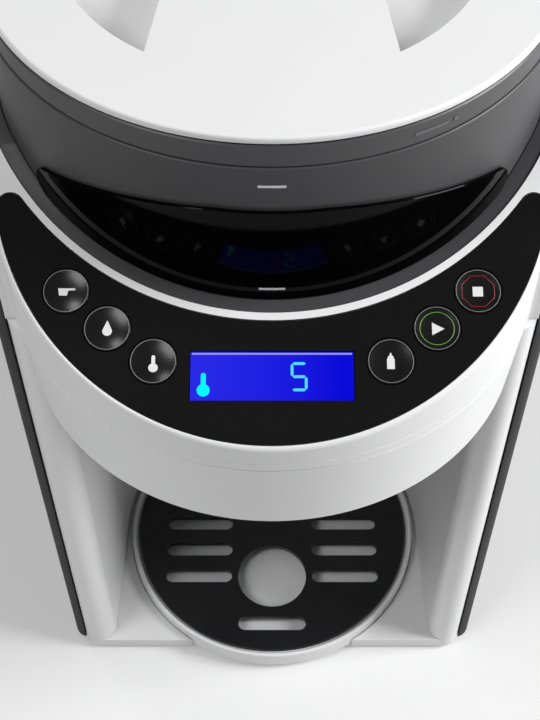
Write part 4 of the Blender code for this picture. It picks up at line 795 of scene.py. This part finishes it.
# Control panel
# Polished black crescent in the deck's slope, with round button holes and a
# rectangular opening for the display.
BUTTON_RADIUS = 0.00685
BUTTON_PLACES = {"button_powder": (-0.0597, -0.0859), "button_water": (-0.0474, -0.0966),
                 "button_temperature": (-0.0339, -0.1059), "button_volume": (0.0339, -0.1059),
                 "button_start": (0.0474, -0.0966), "button_stop": (0.0597, -0.0859)}
DISPLAY_WIDE = 0.0465
DISPLAY_DEEP = 0.0142
DISPLAY_THICK = 0.0015
DISPLAY_LEAD = 0.1099
display_y = on_slope(AXIS_Y - DISPLAY_LEAD)
polished_black = surface("polished_black", (0.0075, 0.0075, 0.008), 0.15, marks=0.02, tint=0.05, grain=0.0,
                         specular=0.2)
button_spots = {name: (x, on_slope(AXIS_Y + y)) for name, (x, y) in BUTTON_PLACES.items()}
panel_holes = [arc(spot, BUTTON_RADIUS + GAP, 0, math.tau)[:-1] for spot in button_spots.values()]
panel_holes.append(rectangle((0, display_y), DISPLAY_WIDE + 2 * GAP, DISPLAY_DEEP + 2 * GAP))
mounted("panel_gloss", crescent("panel", 0, -PANEL_THICK, 0, panel_holes), polished_black, "housing",
        ["control_panel"], 0.0001)


# Display
# Backlit blue cover, a little lighter at its upper edge, with a plain
# seven-segment figure and a thermometer sign.
UNLIT_SHARE = 0.08
GLOW_REACH = 0.02


def glowing(name, colour, strength, far_colour=None):
    """A backlit finish, with a slow change of colour across the display if far_colour is given."""
    material = surface(name, [c * UNLIT_SHARE for c in colour], 0.2, grain=0.0, specular=0.15)
    tree = material.node_tree
    shader = tree.nodes["Principled BSDF"]
    wire(tree, shader, Emission_Strength=strength, Emission_Color=(*colour, 1))
    if far_colour:
        place = add(tree, "ShaderNodeTexCoord")
        axes = add(tree, "ShaderNodeSeparateXYZ", Vector=place.outputs["Object"])
        spread = add(tree, "ShaderNodeMapRange", Value=axes.outputs["X"], From_Min=-GLOW_REACH,
                     From_Max=GLOW_REACH)
        wire(tree, shader, Emission_Color=blend(tree, spread.outputs["Result"], far_colour, colour))
    return material


backlight = glowing("display_backlight", (0.002, 0.002, 0.70), 0.92, far_colour=(0.022, 0.022, 0.80))
lit_figure = glowing("lit_figure", (0.08, 0.66, 1.0), 1.0)
lit_sign = glowing("lit_sign", (0.0, 0.86, 1.0), 1.0)
lilac_edge = glowing("lilac_edge", (0.36, 0.36, 0.85), 0.8)
display_top = -GAP
cover_plate = plate("display", [rectangle((0, display_y), DISPLAY_WIDE, DISPLAY_DEEP)],
                    display_top - DISPLAY_THICK, display_top, SLOPE_FRAME)
mounted("display_cover", cover_plate, backlight, "housing", ["display_window"], 0.0002)
MARK_LOW = display_top + 0.00002
MARK_HIGH = display_top + 0.00010


def display_mark(name, outline, material):
    """A thin lit shape on the display."""
    mark = plate(name, [outline], MARK_LOW, MARK_HIGH, SLOPE_FRAME)
    mounted(name, mark, material, "housing")


strip_y = display_y + DISPLAY_DEEP / 2 - 0.0006
display_mark("display_edge", rectangle((0, strip_y), DISPLAY_WIDE - 0.0008, 0.0005), lilac_edge)
FIGURE_WIDE = 0.0040
FIGURE_TALL = 0.0078
STROKE = 0.0008
figure_at = (0.0077, display_y - 0.0003)
half_wide, half_tall = FIGURE_WIDE / 2, FIGURE_TALL / 2
SEGMENTS = {"top": (0, half_tall, "across"), "middle": (0, 0, "across"), "bottom": (0, -half_tall, "across"),
            "upper_left": (-half_wide, half_tall / 2, "upright"),
            "lower_right": (half_wide, -half_tall / 2, "upright")}


def segment_outline(x, y, lie):
    """One pointed segment of the figure."""
    long = (FIGURE_WIDE if lie == "across" else FIGURE_TALL / 2) / 2 - STROKE * 0.15
    half = STROKE / 2
    points = [(-long, 0), (-long + half, -half), (long - half, -half), (long, 0), (long - half, half),
              (-long + half, half)]
    if lie == "upright":
        points = [(-b, a) for a, b in points]
    return [(figure_at[0] + x + a, figure_at[1] + y + b) for a, b in points]


for segment_name, (x, y, lie) in SEGMENTS.items():
    display_mark("figure_" + segment_name, segment_outline(x, y, lie), lit_figure)


def thermometer_outline(centre, scale):
    """A bulb with a round-topped stem, as one outline."""
    x, y = centre
    bulb, stem = 0.0016 * scale, 0.00062 * scale
    rise = 0.0038 * scale
    open_angle = math.asin(stem / bulb)
    outline = arc((x, y), bulb, math.pi / 2 + open_angle, math.pi / 2 - open_angle + math.tau)
    return outline + arc((x, y + rise), stem, 0, math.pi)


display_mark("display_thermometer", thermometer_outline((-0.0195, display_y - 0.0043), 1.15), lit_sign)


# Buttons
# Six polished black caps with a shallow dish. Each has a fine printed ring
# and a plain sign; the ring inside start is green and the one in stop is red.
button_black = surface("button_black", (0.006, 0.006, 0.0065), 0.24, marks=0.02, tint=0.05, grain=0.0)
print_white = surface("print_white", (0.78, 0.78, 0.78), 0.45, grain=0.0)
print_grey = surface("print_grey", (0.42, 0.42, 0.42), 0.45, grain=0.0)
print_green = surface("print_green", (0.17, 0.42, 0.06), 0.4, grain=0.0)
print_red = surface("print_red", (0.38, 0.018, 0.03), 0.4, grain=0.0)
DISH_RADIUS = BUTTON_RADIUS - 0.00035
CAP_PROUD = 0.0001
DISH_DEEP = 0.0009


def dish_z(radius):
    """Height of the dished cap off the slope at a distance from its middle."""
    share = min(1.0, radius / DISH_RADIUS)
    return CAP_PROUD - DISH_DEEP * (1 - share ** 2)


def build_ring_tree():
    """A fine printed ring: a round line of a given radius, width and count of sides."""
    inputs = {"Radius": "Float", "Line": "Float", "Sides": "Int", "Material": "Material"}
    tree, given, out = new_tree("printed_ring", "GeometryNodeTree", INPUT=inputs, OUTPUT=SOLID_OUT)
    path = add(tree, "GeometryNodeCurvePrimitiveCircle", Resolution=given["Sides"], Radius=given["Radius"])
    section = add(tree, "GeometryNodeCurvePrimitiveCircle", Resolution=8, Radius=given["Line"])
    tube = add(tree, "GeometryNodeCurveToMesh", Curve=path.outputs["Curve"],
               Profile_Curve=section.outputs["Curve"])
    return finish_tree(tree, tube.outputs["Mesh"], given, out)


RING_TREE = build_ring_tree()
WATER_DROP = arc((0, -0.0007), 0.0014, math.radians(150), math.radians(390)) + [(0, 0.0026)]
BOTTLE_HALF = [(0.0011, -0.0022), (0.0011, 0.0008), (0.0008, 0.0012), (0.0008, 0.0016), (0.0003, 0.0019),
               (0.0002, 0.0026)]
BOTTLE = BOTTLE_HALF + [(-x, y) for x, y in reversed(BOTTLE_HALF)]
SCOOP = [(-0.0024, 0.0010), (-0.0020, -0.0012), (0.0002, -0.0012), (0.0006, 0.0004), (0.0026, 0.0004),
         (0.0026, 0.0010)]
THERMOMETER = thermometer_outline((0, -0.0018), 0.85)
PLAY = [(-0.0014, -0.0019), (0.0022, 0), (-0.0014, 0.0019)]
SIGNS = {"button_powder": SCOOP, "button_water": WATER_DROP, "button_temperature": THERMOMETER,
         "button_volume": BOTTLE, "button_start": PLAY, "button_stop": rectangle((0, 0), 0.0030, 0.0030)}
COLOUR_RINGS = {"button_start": (print_green, 48, 0.72), "button_stop": (print_red, 8, 0.74)}
CAP_FLANGE = 0.00075
RING_LINE = 0.00006
COLOUR_LINE = 0.00010
COLOUR_LIFT = 0.00003
SIGN_HALF = 0.00004
SIGN_LIFT = 0.00006
STEM_RADIUS = 0.002
STEM_LOW = -0.0041
ring_radius = DISH_RADIUS - 0.0001
flange_top = -PANEL_THICK - GAP
cap_profile = [(DISH_RADIUS * i / 10, dish_z(DISH_RADIUS * i / 10)) for i in range(11)]
cap_profile += [(BUTTON_RADIUS - 0.0001, CAP_PROUD), (BUTTON_RADIUS, CAP_PROUD - 0.0001),
                (BUTTON_RADIUS, flange_top), (BUTTON_RADIUS + CAP_FLANGE, flange_top),
                (BUTTON_RADIUS + CAP_FLANGE, flange_top - 0.001), (STEM_RADIUS, flange_top - 0.001),
                (STEM_RADIUS, STEM_LOW), (0, STEM_LOW)]
for button_name, (spot_x, spot_y) in button_spots.items():
    cap_frame = SLOPE_FRAME @ Matrix.Translation((spot_x, spot_y, 0))
    cap = turned(button_name, cap_profile, (0, 0))
    cap.data.transform(cap_frame)
    mounted(button_name + "_cap", cap, button_black, button_name, [button_name])
    rings = [("_ring", ring_radius, RING_LINE, 72, print_grey, 0, 0)]
    if button_name in COLOUR_RINGS:
        finish, count, share = COLOUR_RINGS[button_name]
        rings.append(("_colour_ring", BUTTON_RADIUS * share, COLOUR_LINE, count, finish, math.pi / 8,
                      COLOUR_LIFT))
    for ring_name, radius, line, count, finish, turn, lift in rings:
        ring_values = {"Radius": radius, "Line": line, "Sides": count, "Material": finish}
        risen = Matrix.Translation((0, 0, dish_z(radius) + lift))
        ring = from_tree("ring", RING_TREE, ring_values, cap_frame @ Matrix.Rotation(turn, 4, "Z") @ risen)
        mounted(button_name + ring_name, ring, finish, button_name)
    mark = plate("mark", [SIGNS[button_name]], -SIGN_HALF, SIGN_HALF)
    for corner in mark.data.vertices:
        corner.co.z += dish_z(math.hypot(corner.co.x, corner.co.y)) + SIGN_LIFT
    mark.data.transform(cap_frame)
    mounted(button_name + "_sign", mark, print_white, button_name)


# Container base
# Dark hopper under the powder, with the dosing wheel's pit and the flange
# that follows the slope round the window.
CONTAINER_RADIUS = 0.087
FLANGE_SUNK = 0.0006
container_inner = CONTAINER_RADIUS - WALL
floor_low = WELL_FLOOR_Z + GAP
floor_top = floor_low + 0.003
step_top = floor_top + 0.0063
hopper_top = step_top + 0.0124
flange_outer = WELL_RADIUS - GAP
flange_inner = CONTAINER_RADIUS + GAP
wheel_pit = 0.044 + 2 * GAP
hopper = turned("hopper", [(flange_outer, DECK_Z + OVERRUN), (flange_outer, floor_low), (hub_bore, floor_low),
                           (hub_bore, floor_top), (wheel_pit, floor_top), (wheel_pit, step_top),
                           (container_inner, hopper_top), (flange_inner, hopper_top),
                           (flange_inner, DECK_Z + OVERRUN)], axis, closed=True)
cut(hopper, roof_tool("flange_top", FLANGE_SUNK),
    cylinder("outlet", outlet_place, OUTLET_RADIUS, floor_low - OVERRUN, floor_top + OVERRUN))
mounted("hopper_moulding", hopper, dark_satin, "container", ["container_base"], 0.0003)


# Powder container
# Smoky round wall of the container, satin outside, with two plain level
# dashes printed on its front.
def hoop(name, radius, low, high, low_edge, high_edge):
    """A ring on the container's bore, its two outer edges cut off by a little."""
    profile = [(radius - high_edge, high), (radius, high - high_edge), (radius, low + low_edge),
               (radius - low_edge, low), (container_inner, low), (container_inner, high)]
    return turned(name, profile, axis, closed=True)


smoky = surface("smoky_wall", (0.062, 0.062, 0.065), 0.42, marks=0.04, tint=0.12, grain=0.12, specular=0.35)
collar_low = 0.362
wall_low = hopper_top + GAP
wall_high = collar_low - GAP
wall = hoop("wall", CONTAINER_RADIUS, wall_low, wall_high, GAP, GAP)
mounted("container_wall", wall, smoky, "container", ["powder_container"])


def curved_mark(name, radius, start, end, low, high, proud):
    """A thin patch on a round wall between two angles and two heights."""
    inner, outer = radius - GAP / 3, radius + proud
    outline = arc(axis, outer, start, end) + list(reversed(arc(axis, inner, start, end)))
    return plate(name, [outline], low, high)


WINDOW_RADIUS = flange_inner + 0.001
DASH_REACH = 0.0038
DASH_HALF = 0.0004
DASHES = {"upper_dash": (CONTAINER_RADIUS, 0.3553), "lower_dash": (WINDOW_RADIUS, 0.3155)}
for dash_name, (dash_radius, dash_z) in DASHES.items():
    reach = DASH_REACH / dash_radius
    dash = curved_mark(dash_name, dash_radius, -math.pi / 2 - reach, -math.pi / 2 + reach,
                       dash_z - DASH_HALF, dash_z + DASH_HALF, 0.00006)
    mounted(dash_name + "_print", dash, print_white, "container")


# Container collar
# Dark ring on top of the container that the lid sits in. A raised bar and a
# dot on its right mark where the lid locks.
collar_satin = surface("collar_satin", (0.062, 0.062, 0.065), 0.40, tint=0.06, grain=0.2)
COLLAR_RADIUS = 0.0866
COLLAR_TOP_Z = 0.3693
LOCK_Z = 0.3656
collar = hoop("collar", COLLAR_RADIUS, collar_low, COLLAR_TOP_Z, GAP, 0.0004)
mounted("collar_ring", collar, collar_satin, "container", ["container_collar"])
mark_satin = surface("mark_satin", (0.115, 0.115, 0.12), 0.35, grain=0.0)
LOCK_MARKS = {"lock_bar": (-64.5, -57.6, 0.0005), "lock_dot": (-56.4, -55.6, 0.0006)}
for mark_name, (mark_start, mark_end, mark_half) in LOCK_MARKS.items():
    lock = curved_mark(mark_name, COLLAR_RADIUS, math.radians(mark_start), math.radians(mark_end),
                       LOCK_Z - mark_half, LOCK_Z + mark_half, 0.0002)
    mounted(mark_name + "_relief", lock, mark_satin, "container")


# Level window
# Glossy black crescent set over the front of the container. Its top falls
# away to both sides and its foot follows the flange.
WINDOW_TOP_Z = 0.3465
WINDOW_FALL = math.radians(24.5)
WINDOW_END_TALL = 0.0085
WINDOW_STEPS = 160
WINDOW_EDGE = 0.0002
window_front = AXIS_Y - CONTAINER_RADIUS
window_tall = WINDOW_TOP_Z - slope_z(window_front)
window_reach = (window_tall - WINDOW_END_TALL) / (math.tan(SLOPE) + math.tan(WINDOW_FALL))
window_end = math.acos((AXIS_Y - window_front - window_reach) / WINDOW_RADIUS)


def window_levels(turn):
    """Foot and top of the window at an angle from its middle, closing in a round end."""
    y = AXIS_Y - WINDOW_RADIUS * math.cos(turn)
    foot = slope_z(y)
    top = WINDOW_TOP_Z - max(0.0, y - window_front) * math.tan(WINDOW_FALL)
    end_radius = WINDOW_END_TALL / 2
    left_over = (window_end - abs(turn)) * WINDOW_RADIUS
    if left_over < end_radius:
        trim = end_radius - math.sqrt(max(0.0, end_radius ** 2 - (end_radius - left_over) ** 2))
        foot, top = foot + trim, top - trim
    return foot, max(top, foot + 0.0001)


window_shape = bmesh.new()
window_columns = []
for i in range(WINDOW_STEPS + 1):
    share = math.sin(math.pi / 2 * (2 * i / WINDOW_STEPS - 1))
    turn = window_end * share
    foot, top = window_levels(turn)
    column = [(WINDOW_RADIUS, top - WINDOW_EDGE), (WINDOW_RADIUS, foot), (flange_inner, foot),
              (flange_inner, top), (WINDOW_RADIUS - WINDOW_EDGE, top)]
    spots = [(radius * math.sin(turn), AXIS_Y - radius * math.cos(turn), z) for radius, z in column]
    window_columns.append([window_shape.verts.new(spot) for spot in spots])
for left_column, right_column in zip(window_columns, window_columns[1:]):
    for k in range(5):
        j = (k + 1) % 5
        window_shape.faces.new([left_column[k], left_column[j], right_column[j], right_column[k]])
window_shape.faces.new(window_columns[0])
window_shape.faces.new(window_columns[-1])
bmesh.ops.recalc_face_normals(window_shape, faces=window_shape.faces)
window_black = surface("window_black", (0.0015, 0.0015, 0.0017), 0.06, marks=0.01, tint=0.05, grain=0.0,
                       specular=0.06)
mounted("level_window_gloss", settled("window", window_shape), window_black, "container",
        ["level_window"])


# Dosing wheel and stirrer
# White wheel with through pockets and the three-armed stirrer above it, seen
# when the lid is off. Their solids keep their shape.
food_white = surface("food_white", (0.74, 0.745, 0.75), 0.45, grain=0.2)
frame_material(food_white, "powder_wheel", "stirrer", "powder_chute", "funnel_cover", "funnel_rail_left",
               "funnel_rail_right", "tank_port")


# Powder lid
# White cap with a rounded edge and two deep finger pockets, which turns on a
# cup-shaped plug. The bar between the pockets is narrow in its middle.
LID_RADIUS = 0.0865
LID_NECK = container_inner - 0.0008
LID_RIM_LOW = HEIGHT - 0.0022
LID_TOP_THICK = 0.0025
PLUG_FLOOR = 0.003
GRIP_DEEP = 0.0115
GRIP_RADIUS = 0.063
BAR_END = 0.0345
BAR_WAIST = 0.0275
lid_white = surface("lid_white", (0.80, 0.80, 0.805), 0.40, tint=0.012, grain=0.1)


def grips(name, grow, low, high):
    """Both finger pockets, grown by a margin: the lid's round edge outside, the waisted bar inside."""
    radius = GRIP_RADIUS + grow
    start = math.acos((BAR_END - grow) / radius)
    outline = arc(axis, radius, -start, start) + [(BAR_WAIST - grow, AXIS_Y)]
    return [plate(name, [grip], low, high) for grip in both_sides(outline)]


cap_low = HEIGHT - LID_TOP_THICK
lid = turned("lid", [(0, HEIGHT), (LID_RADIUS - 0.0011, HEIGHT), (LID_RADIUS - 0.0005, HEIGHT - 0.00015),
                     (LID_RADIUS - 0.00015, HEIGHT - 0.0005), (LID_RADIUS, HEIGHT - 0.0010),
                     (LID_RADIUS, LID_RIM_LOW + GAP), (LID_RADIUS - GAP, LID_RIM_LOW),
                     (LID_NECK, LID_RIM_LOW), (LID_NECK, cap_low), (0, cap_low)], axis)
grip_low = HEIGHT - GRIP_DEEP
join(lid, *grips("grip_wall", LID_TOP_THICK, grip_low - LID_TOP_THICK, HEIGHT - LID_TOP_THICK / 2))
cut(lid, *grips("grip", 0, grip_low, HEIGHT + OVERRUN))
mounted("lid_moulding", lid, lid_white, "lid", ["powder_lid"], 0.0006)
plug_top = HEIGHT - 0.014 - GAP
plug_low = plug_top - PLUG_FLOOR
GROOVE_HALF = 0.0011
groove_radius = LID_NECK - 0.0016
groove_z = (plug_top + plug_low) / 2
plug = turned("plug", [(0, plug_top), (LID_NECK - WALL, plug_top), (LID_NECK - WALL, cap_low - GAP),
                       (LID_NECK - GAP, cap_low - GAP), (LID_NECK, cap_low - 2 * GAP),
                       (LID_NECK, groove_z + GROOVE_HALF), (groove_radius, groove_z + GROOVE_HALF),
                       (groove_radius, groove_z - GROOVE_HALF), (LID_NECK, groove_z - GROOVE_HALF),
                       (LID_NECK, plug_low + GAP), (LID_NECK - GAP, plug_low), (0, plug_low)], axis)
mounted("lid_plug", plug, food_white, "lid_insert", ["lid_liner"])
clear_silicone = surface("clear_silicone", (0.62, 0.64, 0.67), 0.42, tint=0.06, grain=0.15)
frame_material(clear_silicone, "lid_gasket", "water_nozzle")


# Powder drive, water works and electrics
# Pale nylon gears, a steel motor and pinion, the pump, the heater, green
# boards and silicone hoses. They sit inside the shell.
nylon = surface("nylon", (0.70, 0.70, 0.66), 0.5, grain=0.25)
board_green = surface("board_green", (0.015, 0.14, 0.06), 0.35, tint=0.25, grain=0.3, grain_scale=900.0)
frame_material(nylon, "drive_gear", "idler_gear")
frame_material(bright_steel, "idler_pin", "motor_pinion", "gear_motor", "pump", "heater")
frame_material(board_green, "control_board", "main_board")
frame_material(clear_silicone, "inlet_hose", "pump_hose", "outlet_hose")


# Mixing funnel
# Natural plastic funnel under the head that slides forward on its rails by
# the small tab at its front.
natural = surface("natural_plastic", (0.66, 0.67, 0.69), 0.36, tint=0.04, grain=0.15)
FUNNEL_RADIUS = 0.050
FUNNEL_WALL = 0.0018
FUNNEL_HALF = 0.056
FUNNEL_BACK = 0.042
FUNNEL_RIM = 0.004
FUNNEL_CONE = 0.022
NOZZLE_RADIUS = 0.006
NOZZLE_LONG = 0.014
TAB_WIDE = 0.030
TAB_LONG = 0.014
flange_high = BAY_TOP_Z - 0.0045
flange_low = flange_high - 0.0025
cone_top = flange_low - FUNNEL_RIM / 2
cone_low = cone_top - FUNNEL_CONE
tip_low = cone_low - NOZZLE_LONG
funnel_outer = FUNNEL_RADIUS + FUNNEL_WALL
lip_high = flange_high - FUNNEL_WALL / 2
funnel = turned("funnel", [(0, lip_high), (funnel_outer, lip_high), (funnel_outer, cone_top),
                           (NOZZLE_RADIUS + FUNNEL_WALL, cone_low), (NOZZLE_RADIUS + FUNNEL_WALL, tip_low),
                           (0, tip_low)], (0, BAY_Y))
flange_middle = BAY_Y + (FUNNEL_BACK - FUNNEL_HALF) / 2
flange_plan = rectangle((0, flange_middle), 2 * FUNNEL_HALF, FUNNEL_BACK + FUNNEL_HALF)
tab_back = BAY_Y - FUNNEL_HALF
join(funnel, plate("funnel_flange", [flange_plan], flange_low, flange_high),
     block("funnel_tab", (-TAB_WIDE / 2, tab_back - TAB_LONG, flange_low - FUNNEL_RIM),
           (TAB_WIDE / 2, tab_back + FUNNEL_WALL, flange_high - 0.0008)))
cut(funnel, turned("funnel_inside", [(0, BAY_TOP_Z), (FUNNEL_RADIUS, BAY_TOP_Z),
                                     (FUNNEL_RADIUS, cone_top + FUNNEL_WALL),
                                     (NOZZLE_RADIUS, cone_low + FUNNEL_WALL),
                                     (NOZZLE_RADIUS, tip_low - OVERRUN), (0, tip_low - OVERRUN)], (0, BAY_Y)))
mounted("funnel_moulding", funnel, natural, "funnel", ["mixing_funnel"], 0.0005)


# Water tank
# Smoke-tinted clear tank at the rear with a dark hinged lid. The seal in its
# floor closes on the port.
TANK_WALL = 0.0022
TANK_LOW = TANK_BASE_TOP_Z + GAP
LID_LOW_Z = DECK_Z - 0.0057
TANK_TOP = LID_LOW_Z - GAP
EAR_X = 0.060
EAR_THICK = 0.004
EAR_DEEP = 0.0062
EAR_DROP = 0.0008
HINGE_RADIUS = 0.0015
tank_front = REAR_PANEL_Y + GAP
HINGE_PLACE = (tank_front + 0.0032, DECK_Z - 0.0025)
tank_clear = surface("tank_clear", (0.30, 0.31, 0.33), 0.05, marks=0.0, grain=0.0, transmission=0.7)


def hinge_rod(name, radius, long):
    """A bar along the tank lid's hinge line."""
    return rod(name, radius, long, (0, *HINGE_PLACE), "Y")


def ear_boxes(name, spread, back, front, high):
    """A box at each of the tank's two ears, wider than the ear by the spread on both sides."""
    half = EAR_THICK / 2 + spread
    low = TANK_TOP - OVERRUN
    return [block(name, (x - half, back, low), (x + half, front, high)) for x in (-EAR_X, EAR_X)]


tank = plate("tank", [tank_outline(0)], TANK_LOW, TANK_TOP)
seal_radius = PORT_RADIUS + 0.003 + 2 * GAP
cut(tank, plate("tank_inside", [tank_outline(TANK_WALL)], TANK_LOW + TANK_WALL, TANK_TOP + OVERRUN),
    cylinder("tank_outlet", PORT_PLACE, seal_radius, TANK_LOW - OVERRUN, TANK_LOW + OVERRUN))
join(tank, *ear_boxes("tank_ear", 0, tank_front, tank_front + EAR_DEEP, DECK_Z - EAR_DROP))
cut(tank, hinge_rod("hinge_bore", HINGE_RADIUS + GAP, 2 * EAR_X + 2 * EAR_THICK))
mounted("tank_moulding", tank, tank_clear, "tank", ["water_tank"], 0.0005)
tank_lid = plate("tank_lid", [tank_outline(0)], LID_LOW_Z, DECK_Z)
cut(tank_lid, block("lid_setback", (-HALF_WIDTH - OVERRUN, tank_front - OVERRUN, TANK_TOP - OVERRUN),
                    (HALF_WIDTH + OVERRUN, tank_front + 0.0022, DECK_Z + OVERRUN)))
cut(tank_lid, *ear_boxes("ear_notch", GAP, tank_front - OVERRUN, tank_front + EAR_DEEP + EAR_DROP,
                         DECK_Z + OVERRUN))
join(tank_lid, hinge_rod("hinge_rod", HINGE_RADIUS, 2 * EAR_X + EAR_THICK + 2 * WALL))
mounted("tank_lid_moulding", tank_lid, dark_satin, "tank_lid", ["tank_lid"], 0.0004)
frame_material(black_rubber, "tank_seal")


# Stage and light
# Pale floor that reads white to the camera, under a soft key from the right,
# a weaker fill from the front left and a small light that glints on the buttons.
def pale_backdrop(name, colour, seen):
    """Lit normally for shadows, and lifted towards white where the camera, gloss or glass sees it."""
    material, tree, shader = new_material(name)
    wire(tree, shader, Base_Color=(*colour, 1), Roughness=0.9)
    path = add(tree, "ShaderNodeLightPath").outputs
    mirrored_ray = reckon(tree, "MAXIMUM", path["Is Camera Ray"], path["Is Glossy Ray"])
    glow = add(tree, "ShaderNodeEmission", Strength=seen,
               Color=reckon(tree, "MAXIMUM", mirrored_ray, path["Is Transmission Ray"]))
    both = tree.nodes.new("ShaderNodeAddShader")
    tree.links.new(shader.outputs["BSDF"], both.inputs[0])
    tree.links.new(glow.outputs["Emission"], both.inputs[1])
    wire(tree, tree.nodes["Material Output"], Surface=both.outputs["Shader"])
    return material


FLOOR_REACH = 6.0
FLOOR_CORNERS = ((-1, -1), (1, -1), (1, 1), (-1, 1))
floor_mesh = bpy.data.meshes.new("floor")
floor_mesh.from_pydata([(FLOOR_REACH * x, FLOOR_REACH * y, 0) for x, y in FLOOR_CORNERS], [], [(0, 1, 2, 3)])
floor_mesh.materials.append(pale_backdrop("floor_pale", (0.70, 0.70, 0.70), seen=0.17))
floor = shown("floor", floor_mesh)
floor.location = (0, 0, -0.0002)
LIGHTS = {"key": ((1.10, -0.16, 0.92), (0, -0.05, 0.2), 0.55, 19.5),
          "fill": ((-0.70, -0.60, 1.35), (0, -0.05, 0.2), 0.6, 8.2),
          "glint": ((-0.47, 0.33, 1.4), (-0.05, -0.13, 0.31), 0.2, 1.6)}
for light_name, (light_place, aimed_at, light_size, power) in LIGHTS.items():
    light_data = bpy.data.lights.new(light_name, "AREA")
    light_data.size = light_size
    light_data.energy = power
    light = shown(light_name, light_data)
    light.location = light_place
    light.rotation_euler = (Vector(aimed_at) - Vector(light_place)).to_track_quat("-Z", "Y").to_euler()
world = bpy.data.worlds.new("studio")
world.use_nodes = True
wire(world.node_tree, world.node_tree.nodes["Background"], Color=(0.9, 0.9, 0.9, 1), Strength=0.13)
bpy.context.scene.world = world
bpy.context.scene.view_settings.view_transform = "Standard"
